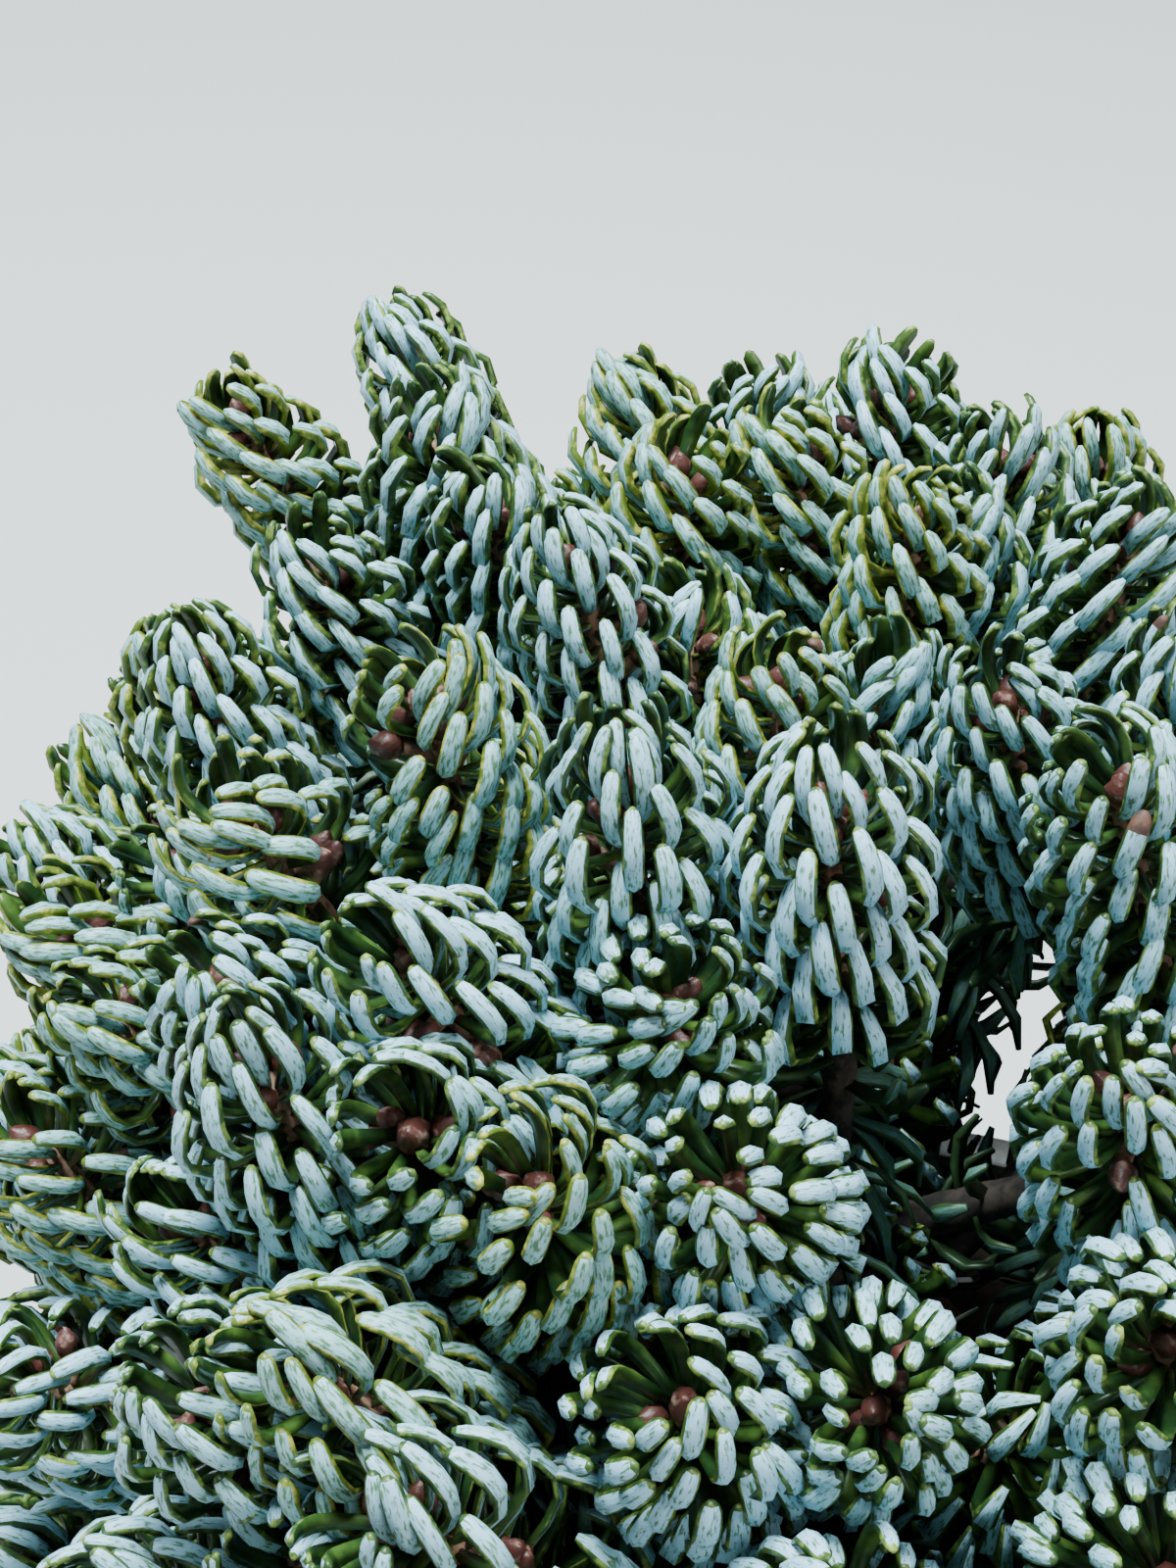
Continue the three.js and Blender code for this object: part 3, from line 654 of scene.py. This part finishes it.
def add_needles(batch, detail, root, radial, forward, length, width, thick, start, end, roll):
    """Adds needles to a batch. All but batch and detail are arrays with a row for each needle."""
    look = DETAILS[detail]
    u = np.linspace(0, 1, BEND_STEPS + 1)
    t = np.clip((u - STRAIGHT) / (1 - STRAIGHT), 0, 1)
    angle = start[:, None] + (end - start)[:, None] * t * t * (3 - 2 * t)
    out, on = np.sin(angle), np.cos(angle)
    gone_out, gone_on = (
        np.concatenate([0 * v[:, :1], np.cumsum((v[:, 1:] + v[:, :-1]) / 2, axis=1)], axis=1)
        for v in (out, on)
    )
    rings = look["rings"]
    step = (length / BEND_STEPS)[:, None, None]
    radial, forward = radial[:, None], forward[:, None]
    centre = root[:, None] + step * (
        gone_out[:, rings, None] * radial + gone_on[:, rings, None] * forward
    )
    face = radial * on[:, rings, None] - forward * out[:, rings, None]
    across = np.cross(forward, radial)
    turn = roll[:, None, None]
    across, face = (
        across * np.cos(turn) + face * np.sin(turn),
        face * np.cos(turn) - across * np.sin(turn),
    )
    widths = np.array(look["widths"])[None, :, None, None]
    section = np.array(look["section"])
    half = (width / 2)[:, None, None, None] * widths * section[None, None, :, :1]
    deep = thick[:, None, None, None] * lerp(THINNEST, 1, widths) * section[None, None, :, 1:]
    points = centre[:, :, None] + across[:, :, None] * half + face[:, :, None] * deep
    sides, count = len(section), len(root)
    faces = grid_faces(len(rings), sides)
    slots = np.full((count, len(faces)), MARGIN)
    slots[:, : (len(rings) - 1) * sides] = np.tile(look["slots"], len(rings) - 1)
    if "tip" in look:
        slots[:, look["tip"] * sides :] = MARGIN
        slots[rng.uniform(size=count) < DRY_SHARE, (look["tip"] - DRY_RINGS) * sides :] = BROWN
    shift = (np.arange(count) * len(rings) * sides)[:, None, None]
    along = np.broadcast_to(np.array(rings)[None, :, None] * step, half.shape[:-1])
    grain = np.stack([half[..., 0], along], axis=-1)
    grain = grain + rng.uniform(0, GRAIN_SHIFT, (count, 1, 1, 2))
    faces = (faces[None] + shift).reshape(-1, 4)
    batch.add(points.reshape(-1, 3), faces, slots.ravel(), grain.reshape(-1, 2))


# %% [markdown]
# ## Needles on a shoot
# They stand on a golden-angle spiral, close together for the last 27 mm. Round the tip they are
# shorter and start more forward, so they close over the buds like a cone's scales. Each shoot
# first draws its own character: how far its needles reach, their tint, their sweep to one side,
# the side to which they close, how tightly, and its buds.

# %% The character of each shoot
CAMERA = np.array([-38, -174, 455.0])
NEAR_SHOOTS = 60  # the nearest to the camera, which get the finest needles and buds
INNER_BEHIND = 1000  # mm, which put the inner shoots behind all others
BACK_Y, FRONT_Y, BACK_REACH, FRONT_REACH, REACH_JITTER = 40, -70, 8.5, 11.2, 0.6
TINT_SHARES, SIDE_BUD_SHARES = [0.42, 0.36, 0.22], [0.3, 0.45, 0.25]
MOST_SWEEP, SIDE_BUD_DEPTHS = 0.5, (4, 13)


def beside(direction):
    """A direction at a right angle to this one, or to each row of several."""
    return unit(np.cross(direction, (0.37, 0.21, 0.9)))


def draw_side_buds(count):
    return [(rng.uniform(0, 2 * math.pi), rng.uniform(*SIDE_BUD_DEPTHS)) for _ in range(count)]


by_distance = sorted(shoots, key=lambda s: s.inner * INNER_BEHIND + np.linalg.norm(s.tip - CAMERA))
for order, shoot in enumerate(by_distance):
    shoot.near = order < NEAR_SHOOTS
    fore = np.clip((BACK_Y - shoot.tip[1]) / (BACK_Y - FRONT_Y), 0, 1)
    jitter = rng.uniform(-REACH_JITTER, REACH_JITTER)
    shoot.reach = lerp(BACK_REACH, FRONT_REACH, fore) + jitter
    shoot.tint = int(rng.choice(len(silvers), p=TINT_SHARES))
    shoot.sweep = rng.uniform(-MOST_SWEEP, MOST_SWEEP)
    shoot.turn, shoot.shut = rng.uniform(0, 2 * math.pi, 2)
    shoot.closed = rng.uniform(0, 1)
    shoot.side_buds = draw_side_buds(0 if shoot.inner else rng.choice(3, p=SIDE_BUD_SHARES))
    side = beside(shoot.direction)
    shoot.sides = side, np.cross(shoot.direction, side)
print(sum(len(s.side_buds) for s in shoots), "side buds")

# %% Batches, and where needles may stand
MOST_POINTS = 95000
POT_INSIDE, WALL_ROOM, SOIL_ROOM, RIM_ROOM = 92, 10, 5, 3
near_batches = [[Batch()] for _ in silvers]
far_batches = [[Batch()] for _ in silvers]


def batch_for(batches):
    """The last batch of a list, or a new one when that is full."""
    if batches[-1].count > MOST_POINTS:
        batches.append(Batch())
    return batches[-1]


def spread(count, size):
    return rng.uniform(-size, size, count)


def in_the_open(points):
    """Whether needles can stand at these points, clear of the soil and of the pot's wall."""
    inside = np.hypot(points[:, 0], points[:, 1]) < POT_INSIDE - WALL_ROOM
    return points[:, 2] > np.where(inside, SOIL_LEVEL + SOIL_ROOM, POT_HEIGHT + RIM_ROOM)


# %% Dress a shoot
DENSE_LENGTH, DENSE_COUNT, INNER_COUNT, TIP_CLEAR = 27, 82, 46, 7
CROWDING = 1.12  # above 1, needles stand closer together towards the tip
OPENING, SHUT_BELOW = 7, 0.3  # mm from the tip to open needles, which feel this much of its lean
OUTWARD = 0.58  # the share of a needle's length by which it stands out from its twig
TIP_LENGTH, TIP_WIDTH = 0.7, 0.9  # needles at the tip beside those further down
NEEDLE_WIDTH, NEAR_THICK, FAR_THICK, NEAR_DEPTH = 2.14, 0.85, 1.0, 17
TURN_JITTER, LENGTH_JITTER, WIDTH_JITTER, ROLL_JITTER = 0.08, 0.1, 0.12, 0.16
BUD_ROOM, BUD_CLEAR = 0.9, (-2, 6.5)  # cosine beside a side bud, and mm along, without needles

# Angles from the twig in degrees, at a needle's foot and at its tip: on an open shoot tip, the
# change on a closed one, further down, the change on the side that closes, and the spread
FOOT_ANGLE = (42, -26, 83, -12, 5)
TIP_ANGLE = (-46, 14, -48, -16, 8)


def needle_angles(angle, closed, opened, shut):
    at_tip, when_closed, below, when_shut, jitter = angle
    mean = lerp(at_tip + when_closed * closed, below, opened) + when_shut * shut
    return np.radians(mean + spread(len(shut), jitter))


def dress(shoot):
    count = INNER_COUNT if shoot.inner else DENSE_COUNT
    n = np.arange(count)
    depth = DENSE_LENGTH * (n / count) ** CROWDING
    turn = shoot.turn + n * GOLDEN + spread(count, TURN_JITTER)
    one, other = shoot.sides
    radial = one * np.cos(turn)[:, None] + other * np.sin(turn)[:, None]
    tangent = np.cross(shoot.direction, radial)
    sweep = shoot.sweep + spread(count, TURN_JITTER)
    forward = shoot.direction * np.cos(sweep)[:, None] + tangent * np.sin(sweep)[:, None]
    opened = np.clip(depth / OPENING, 0, 1)
    shut = np.cos(turn - shoot.shut) * lerp(1, SHUT_BELOW, opened)
    root = shoot.below(TIP_CLEAR) - shoot.direction * depth[:, None] + radial
    length = (shoot.reach - 1) / OUTWARD * lerp(TIP_LENGTH, 1, opened)
    length = length * (1 + spread(count, LENGTH_JITTER))
    start = needle_angles(FOOT_ANGLE, shoot.closed, opened, shut)
    end = needle_angles(TIP_ANGLE, shoot.closed, opened, shut)
    width = NEEDLE_WIDTH * (1 + spread(count, WIDTH_JITTER)) * lerp(TIP_WIDTH, 1, opened)
    thick = np.full(count, NEAR_THICK if shoot.near else FAR_THICK)
    roll = spread(count, ROLL_JITTER)
    rows = (root, radial, forward, length, width, thick, start, end, roll)
    free = in_the_open(root)
    for bud_turn, bud_depth in shoot.side_buds:
        under = depth - bud_depth
        close = np.cos(turn - bud_turn) > BUD_ROOM
        free &= ~(close & (under > BUD_CLEAR[0]) & (under < BUD_CLEAR[1]))
    near = (depth < NEAR_DEPTH) & shoot.near
    plainer = "old" if shoot.inner else "far"
    for detail, batches, those in (("near", near_batches, near), (plainer, far_batches, ~near)):
        clear = free & those
        add_needles(batch_for(batches[shoot.tint]), detail, *(row[clear] for row in rows))


for shoot in shoots:
    dress(shoot)
for kind, all_batches in (("needles", near_batches), ("far_needles", far_batches)):
    for tint, batches in enumerate(all_batches):
        for k, batch in enumerate(batches):
            materials = [silvers[tint], margins[tint], green, brown]
            batch.piece(f"{kind}_{tint + 1}_{k + 1}", materials, "foliage")

# %% [markdown]
# ## Older needles
# Below each shoot the twigs keep their older needles, which are greener, sparser and less curled.
# They hide the inside of the crown, and their silver is darker there as painted shade.


# %% Older needles along the twigs
OLD_ANGLES = (72, 10), (6, 20)  # degrees from the twig at foot and tip, each with its spread
OLD_WIDTH, OLD_THICK = 2.05, 0.75
OLD_TURN_JITTER, OLD_LENGTH_JITTER, OLD_ROLL_JITTER = 0.2, 0.15, 0.5
TWIG_NEEDLES, BOUGH_NEEDLES, SHOOT_NEEDLES = (1.75, 13), (1.4, 12), (1.1, 13)  # pitch, length
BARE_ROOT = 0.05  # the share of a bough beside the trunk that has no needles


def dress_older(batch, points, pitch, size):
    """Needles of one size along a curve, one for every pitch of its length."""
    count = max(int(curve_length(points) / pitch), 1)
    at = (np.arange(count) + 0.5) / count * (len(points) - 1)
    place = sample(points, at, np.arange(len(points)))
    along = directions(points)[at.astype(int)]
    side = beside(along)
    turn = rng.uniform(0, 6) + np.arange(count) * GOLDEN + spread(count, OLD_TURN_JITTER)
    radial = side * np.cos(turn)[:, None] + np.cross(along, side) * np.sin(turn)[:, None]
    length = size * (1 + spread(count, OLD_LENGTH_JITTER))
    start, end = (np.radians(mean + spread(count, jitter)) for mean, jitter in OLD_ANGLES)
    width = OLD_WIDTH * (1 + spread(count, WIDTH_JITTER))
    thick = np.full(count, OLD_THICK)
    clear = in_the_open(place) & (to_line(place, CLEFT_MOUTH, CLEFT_END) > CLEFT_CLEAR)
    roll = spread(count, OLD_ROLL_JITTER)
    rows = (place, radial, along, length, width, thick, start, end, roll)
    add_needles(batch, "old", *(row[clear] for row in rows))


older = [Batch()]
for group in masses:
    group.twigs = [twig_to(group, s, rank) for rank, s in enumerate(group.shoots) if rank > 0]
    for curve in [group.stem, *group.twigs]:
        dress_older(batch_for(older), curve, *TWIG_NEEDLES)
    if group.bough is not None:
        dress_older(batch_for(older), part_of(group.bough, BARE_ROOT, 1), *BOUGH_NEEDLES)
for shoot in shoots:
    low = np.linspace(shoot.below(TIP_CLEAR + DENSE_LENGTH), shoot.base, 20)
    if np.linalg.norm(low[0] - shoot.base) > 1:
        dress_older(batch_for(older), low, *SHOOT_NEEDLES)
for k, batch in enumerate(older):
    materials = [old_silver_in_painted_shade, old_green, old_green]
    batch.piece(f"older_needles_{k + 1}", materials, "foliage")

# %% [markdown]
# ## Twigs and buds
# The twigs of the shoots are tan and the older ones grey-brown. Each outer shoot ends in two to
# four resinous buds, and some carry spurs with a bud or two on their side.

# %% Twigs
TWIG_SIDES, TWIG_RINGS = 6, 10
SHOOT_RADII = (TWIG_TIP_RADIUS, 1.2, 1.1)
twigs = Batch()
for group in masses:
    curves = [(group.stem, group.stem_radii)]
    curves += [(twig, (TWIG_ROOT_RADIUS, TWIG_TIP_RADIUS)) for twig in group.twigs]
    for curve, (first, last) in curves:
        points = part_of(curve, 0, 1, TWIG_RINGS)
        radii = np.linspace(first, last, TWIG_RINGS + 1)
        twigs.add(*tube(points, radii, TWIG_SIDES), slots=1)
for shoot in shoots:
    points = np.linspace(shoot.base, shoot.below(TIP_CLEAR), len(SHOOT_RADII))
    twigs.add(*tube(points, SHOOT_RADII, TWIG_SIDES))

# %% Buds
# Bud outlines, finer on the near shoots: shares of the length, shares of the radius, sides
NEAR_BUD = (
    np.array([0, 0.14, 0.34, 0.56, 0.76, 0.91, 1]),
    np.array([0.5, 0.84, 1, 0.92, 0.66, 0.34, 0.06]),
    10,
)
FAR_BUD = (np.array([0, 0.25, 0.6, 0.88, 1]), np.array([0.6, 1, 0.88, 0.4, 0.08]), 6)
SCALE_RELIEF = (-0.26, 0.12)  # how far a bud's scales sink and stand out, in shares of its radius
TIP_BUD_COUNTS, TIP_BUD_TURN, TIP_BUD_JITTER, TIP_BUD_RADII = (2, 5), 2.1, 0.3, (1.3, 1.7)
BUD_SLIMNESS = 2.2  # length of a tip bud beside its radius
MIDDLE_BUD, OUTER_BUD = (0.4, 0, 0.2), (1.8, 1, 0.9)  # tip buds: off the twig, back and lean
SPUR_LENGTH, SPUR_RADII, SPUR_RINGS, SPUR_OFF, SPUR_LEAN = 3.5, (1, 0.8), 4, 0.6, 0.6
SIDE_BUD_COUNTS, SIDE_BUD_RADII, SIDE_BUD_LENGTH = (1, 3), (1.3, 1.6), 3.4
SIDE_BUD_APART, SIDE_BUD_MOVE, SIDE_BUD_LEAN = 1.3, 0.7, 0.3
buds = Batch()


def add_bud(outline, foot, direction, radius, length):
    shares, widths, sides = outline
    points = foot + unit(direction) * (shares * length)[:, None]
    scales = rng.uniform(*SCALE_RELIEF, (len(points), sides)) * (widths * radius)[:, None]
    buds.add(*tube(points, widths * radius, sides, scales))


def add_tip_buds(shoot, outline):
    one, other = shoot.sides
    for k in range(rng.randint(*TIP_BUD_COUNTS)):
        turn = shoot.turn + k * TIP_BUD_TURN + rng.uniform(-TIP_BUD_JITTER, TIP_BUD_JITTER)
        radial = one * math.cos(turn) + other * math.sin(turn)
        radius = rng.uniform(*TIP_BUD_RADII)
        off, back, lean = MIDDLE_BUD if k == 0 else OUTER_BUD
        foot = shoot.below(TIP_CLEAR) + radial * off - shoot.direction * back
        aim = shoot.direction + radial * lean
        add_bud(outline, foot, aim, radius, radius * BUD_SLIMNESS)


def add_side_buds(shoot, outline):
    one, other = shoot.sides
    for turn, depth in shoot.side_buds:
        radial = one * math.cos(turn) + other * math.sin(turn)
        aim = unit(radial + shoot.direction * SPUR_LEAN)
        foot = shoot.below(TIP_CLEAR) - shoot.direction * depth + radial * SPUR_OFF
        points = np.linspace(foot, foot + aim * SPUR_LENGTH, SPUR_RINGS)
        twigs.add(*tube(points, np.linspace(*SPUR_RADII, SPUR_RINGS), TWIG_SIDES))
        for k in range(rng.randint(*SIDE_BUD_COUNTS)):
            aside = (one * (k - 0.3) + other * 0.4 * k) * SIDE_BUD_APART
            place, lean = points[-1] + aside * SIDE_BUD_MOVE, aim + aside * SIDE_BUD_LEAN
            add_bud(outline, place, lean, rng.uniform(*SIDE_BUD_RADII), SIDE_BUD_LENGTH)


for shoot in (s for s in shoots if not s.inner):
    outline = NEAR_BUD if shoot.near else FAR_BUD
    add_tip_buds(shoot, outline)
    add_side_buds(shoot, outline)
twigs.piece("twigs", [twig_bark, old_twig_bark], "foliage")
buds.piece("buds", [bud_scale], "foliage")
foliage_nodes = [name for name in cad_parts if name.startswith("foliage")]
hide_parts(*foliage_nodes)

# %% [markdown]
# ## Trunk and boughs
# Their bark is rough with small ridges and the scars of fallen needles, so each is a finer tube
# whose radius rises and falls a little.

# %% Limbs with relief
TRUNK_STEPS, TRUNK_SIDES, TRUNK_RELIEF = 90, 20, 0.25
BOUGH_STEPS, BOUGH_SIDES, BOUGH_RELIEF = 50, 12, 0.12
ROUGHNESS = 0.45  # spread of the bark's bumps and of the soil's crumbs


def bumps(rings, sides):
    """Random heights, ring by side, each evened out with its neighbours."""
    rough = rng.normal(0, ROUGHNESS, (rings, sides))
    return (rough + np.roll(rough, 1, axis=0) + np.roll(rough, 1, axis=1)) / 2


def bark_relief(rings, sides, depth):
    """Ridges along the limb, broken by small bumps."""
    around = np.arange(sides) * 2 * math.pi / sides
    ridge = np.sin(3 * around + 0.4) * 0.4 + np.sin(7 * around + 1.1) * 0.3
    relief = depth * (ridge[None, :] + bumps(rings, sides))
    return np.minimum(relief, depth)


trunk = Batch()
points = part_of(trunk_curve, 0, 1, TRUNK_STEPS)
radii = trunk_radius(np.linspace(0, 1, TRUNK_STEPS + 1)) - TRUNK_RELIEF
relief = bark_relief(len(points), TRUNK_SIDES, TRUNK_RELIEF)
trunk.add(*tube(points, radii, TRUNK_SIDES, relief))
trunk_piece = trunk.piece("trunk_bark", [bark], "bark")
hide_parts("trunk")
limbs = Batch()
for group in masses:
    if group.bough is not None:
        points = part_of(group.bough, 0, 1, BOUGH_STEPS)
        radii = np.linspace(BOUGH_ROOT_RADIUS, BOUGH_TIP_RADIUS, BOUGH_STEPS + 1) - BOUGH_RELIEF
        relief = bark_relief(len(points), BOUGH_SIDES, BOUGH_RELIEF)
        limbs.add(*tube(points, radii, BOUGH_SIDES, relief))
limb_piece = limbs.piece("bough_bark", [bark], "bark")
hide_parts(*[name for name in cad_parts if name.startswith("bough")])

# %% [markdown]
# ## The pot
# A nursery pot is one thin wall of black plastic with a stiff band and a lip at its rim, and
# drainage holes in its base. By hand it starts as a circle that is extruded ring by ring.

# %% Turn the pot
POT_SIDES = 96
POT_WALL, POT_FLOOR = 2, 3
POT_FOOT, POT_RIM = 73, 96


def pot_radius(z):
    return lerp(POT_FOOT, POT_RIM, z / POT_HEIGHT)


POT_PROFILE = [
    (POT_FOOT - 9, 0),
    (POT_FOOT - 2, 0),
    (POT_FOOT - 0.6, 0.5),
    (pot_radius(2), 2),
    (pot_radius(163), 163),
    (pot_radius(164.5) + 0.4, 164.5),
    (pot_radius(166) + 1.9, 166),
    (pot_radius(167.5) + 2.2, 167.5),
    (POT_RIM + 2.1, 175.8),
    (POT_RIM + 2.6, 176.8),
    (POT_RIM + 4.2, 177.4),
    (POT_RIM + 4.6, 178.2),
    (POT_RIM + 4.4, 179.4),
    (POT_RIM + 3.6, 180),
    (POT_RIM - 0.9, 180),
    (POT_RIM - 1.8, 179.5),
    (POT_RIM - 2.1, 178.5),
    (pot_radius(90) - POT_WALL, 90),
    (pot_radius(4.5) - POT_WALL, 4.5),
    (pot_radius(3) - POT_WALL - 1.5, POT_FLOOR),
    (POT_FOOT - 9, POT_FLOOR),
]
radius, height = POT_PROFILE[0]
bpy.ops.mesh.primitive_circle_add(vertices=POT_SIDES, radius=radius * MM, location=(0, 0, 0))
pot = bpy.context.object
pot.name = pot.data.name = "nursery_pot"
bpy.ops.object.mode_set(mode="EDIT")
bpy.ops.mesh.select_all(action="SELECT")
for next_radius, next_height in POT_PROFILE[1:]:
    rise = (next_height - height) * MM
    bpy.ops.mesh.extrude_region_move(TRANSFORM_OT_translate={"value": (0, 0, rise)})
    grow = next_radius / radius
    bpy.ops.transform.resize(value=(grow, grow, 1), center_override=(0, 0, next_height * MM))
    radius, height = next_radius, next_height
print("pot of", len(POT_PROFILE), "rings")

# %% [markdown]
# The floor of the pot is two rings of faces that still have to close in the middle. Each ring's
# edge is filled, and the drainage holes are then cut through both with a Boolean.

# %% Close the base and cut the holes
POT_HOLES, HOLE_RADIUS, HOLE_CIRCLE, HOLE_SIDES, DRILL_LENGTH = 6, 4.5, 52, 24, 12
SMOOTH_ANGLE = math.radians(35)
bpy.ops.mesh.select_all(action="DESELECT")
bpy.ops.mesh.select_mode(type="EDGE")
bpy.ops.mesh.select_non_manifold()
bpy.ops.mesh.edge_face_add()
bpy.ops.mesh.select_mode(type="FACE")
bpy.ops.mesh.select_all(action="SELECT")
bpy.ops.mesh.normals_make_consistent(inside=False)
bpy.ops.object.mode_set(mode="OBJECT")
for k in range(POT_HOLES):
    angle = 2 * math.pi * (k + 0.5) / POT_HOLES
    place = [HOLE_CIRCLE * MM * math.cos(angle), HOLE_CIRCLE * MM * math.sin(angle), 0]
    bpy.ops.mesh.primitive_cylinder_add(
        vertices=HOLE_SIDES, radius=HOLE_RADIUS * MM, depth=DRILL_LENGTH * MM, location=place
    )
    drill = bpy.context.object
    cut = pot.modifiers.new("Hole", "BOOLEAN")
    cut.operation, cut.solver, cut.object = "DIFFERENCE", "EXACT", drill
    bpy.context.view_layer.objects.active = pot
    bpy.ops.object.modifier_apply(modifier=cut.name)
    bpy.data.objects.remove(drill)
bpy.ops.object.select_all(action="DESELECT")
pot.select_set(True)
bpy.ops.object.shade_smooth_by_angle(angle=SMOOTH_ANGLE)
pot.data.materials.append(plastic)
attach(pot, "root")
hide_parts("pot")
print("pot of", len(pot.data.polygons), "faces")

# %% [markdown]
# ## The potting mix
# Its top is a grid of small crumbs, raised in the middle, with chips of bark lying in it. The
# body under it is never seen, so it is a plain drum that the top closes.

# %% Soil surface
SOIL_EDGE_DROP, SOIL_FLAT = 4, 34
SOIL_RINGS, SOIL_SIDES = 60, 160
SOIL_MIDDLE = 0.004  # the first ring, as a share of the edge
CRUMB_DROP = 0.5  # keeps the crumbs' tops at the soil's level
soil_edge = pot_radius(SOIL_LEVEL - SOIL_EDGE_DROP) - POT_WALL - 0.5


def soil_height(radius):
    fall = np.clip((radius - SOIL_FLAT) / (soil_edge - SOIL_FLAT), 0, 1)
    return SOIL_LEVEL - SOIL_EDGE_DROP * fall


soil = Batch()
rings = np.linspace(SOIL_MIDDLE, 1, SOIL_RINGS) * soil_edge
angle = np.arange(SOIL_SIDES) * 2 * math.pi / SOIL_SIDES
crumbs = np.minimum(bumps(SOIL_RINGS, SOIL_SIDES) - CRUMB_DROP, 0)
crumbs[0] = crumbs[0].mean()
across = np.stack([np.cos(angle), np.sin(angle)], axis=-1)
top_height = (soil_height(rings)[:, None] + crumbs)[..., None]
top = np.concatenate([rings[:, None, None] * across, top_height], axis=-1)
under_radius = pot_radius(POT_FLOOR + 1) - POT_WALL - 2
under_height = np.full((SOIL_SIDES, 1), POT_FLOOR + GAP)
under = np.concatenate([under_radius * across, under_height], axis=-1)
points = np.concatenate([top, under[None]]).reshape(-1, 3)
soil.add(points, grid_faces(SOIL_RINGS + 1, SOIL_SIDES)[:, ::-1])
soil_piece = soil.piece("potting_mix", [soil_mix], "soil")
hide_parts("soil")

# %% Bark chips
CHIPS, CHIP_EDGE, CHIP_ROOM = 420, 0.97, 6  # how many, how near the wall and the stem's flare
CHIP_SIZES, CHIP_SLIMNESS, CHIP_THICKNESS = (1.2, 4.5), (0.35, 0.8), (0.4, 0.9)
CHIP_JITTER, CHIP_SUNK, CHIP_TOP = 0.25, 1.1, 0.86
chips = Batch()
chip_ring = np.array([(-1, -0.6), (-0.2, -1), (0.9, -0.7), (1, 0.5), (0.1, 1), (-0.9, 0.6)])
for _ in range(CHIPS):
    radius = soil_edge * CHIP_EDGE * math.sqrt(rng.uniform())
    angle = rng.uniform(0, 2 * math.pi)
    if radius < TRUNK_FLARE + CHIP_ROOM:
        continue
    size = rng.uniform(*CHIP_SIZES) * np.array([1, rng.uniform(*CHIP_SLIMNESS)])
    spin = rng.uniform(0, math.pi)
    flat = chip_ring * (1 + rng.uniform(-CHIP_JITTER, CHIP_JITTER, chip_ring.shape)) * size
    x = flat[:, 0] * math.cos(spin) - flat[:, 1] * math.sin(spin)
    y = flat[:, 0] * math.sin(spin) + flat[:, 1] * math.cos(spin)
    lean = rng.uniform(-CHIP_JITTER, CHIP_JITTER, 2)
    thick = rng.uniform(*CHIP_THICKNESS)
    low = soil_height(radius) - CHIP_SUNK
    lift = np.array([0, thick])[:, None]
    height = low + lift + x * lean[0] + y * lean[1]
    middle = np.array([radius * math.cos(angle), radius * math.sin(angle)])
    shrink = np.array([1, CHIP_TOP])[:, None]
    points = np.stack([middle[0] + x * shrink, middle[1] + y * shrink, height], axis=-1)
    chips.add(points.reshape(-1, 3), grid_faces(2, len(chip_ring)))
chips.piece("bark_chips", [chip_bark], "soil")

# %% [markdown]
# ## Floor, light and camera
# A pale sheet and large soft lamps, like an overcast day. The camera looks down on the front of the
# crown from close by, so that the crown fills the frame as in the photograph.

# %% Floor
FLOOR_SIZE, FLOOR_COLOUR, FLOOR_ROUGHNESS = 8, (214, 212, 208), 0.9
bpy.ops.mesh.primitive_plane_add(size=FLOOR_SIZE, location=(0, 0, 0))
floor = bpy.context.object
floor.name = "floor"
paper = bpy.data.materials.new("Pale floor")
paper.use_nodes = True
look = {"Base Color": linear(*FLOOR_COLOUR), "Roughness": FLOOR_ROUGHNESS}
set_inputs(paper.node_tree.nodes["Principled BSDF"], look)
floor.data.materials.append(paper)

# %% Light
SKY_COLOUR, SKY_STRENGTH = (208, 210, 220), 0.2
world = bpy.data.worlds.new("Soft sky")
world.use_nodes = True
look = {"Color": linear(*SKY_COLOUR), "Strength": SKY_STRENGTH}
set_inputs(world.node_tree.nodes["Background"], look)
bpy.context.scene.world = world


def add_lamp(name, place, aim, power, colour, size=1.0):
    """A round lamp at a place, turned towards its aim."""
    light = bpy.data.lights.new(name, "AREA")
    light.shape, light.size, light.energy = "DISK", size, power
    light.color = linear(*colour)[:3]
    lamp = bpy.data.objects.new(name, light)
    lamp.location = place
    x, y, z = np.array(aim) - np.array(place)
    pitch = math.pi / 2 + math.atan2(z, math.hypot(x, y))
    lamp.rotation_euler = (pitch, 0, math.atan2(-x, y))
    bpy.context.scene.collection.objects.link(lamp)
    print("lamp", name, "of", power, "W")


add_lamp("sky", (-0.35, 0.3, 2.4), (0, 0, 0.28), 193, (230, 247, 255))
add_lamp("side", (1.4, -0.9, 1.4), (0, 0, 0.25), 24, (250, 250, 250))

# %% Camera
CAMERA_PITCH, LENS, SENSOR, NEAREST = 37, 54, 36, 0.01
camera_data = bpy.data.cameras.new("camera")
camera_data.lens, camera_data.clip_start = LENS, NEAREST
camera_data.sensor_fit = "VERTICAL"
camera_data.sensor_width = camera_data.sensor_height = SENSOR
camera = bpy.data.objects.new("camera", camera_data)
camera.location = CAMERA * MM
camera.rotation_euler = (math.radians(90 - CAMERA_PITCH), 0, 0)
bpy.context.scene.collection.objects.link(camera)
bpy.context.scene.camera = camera
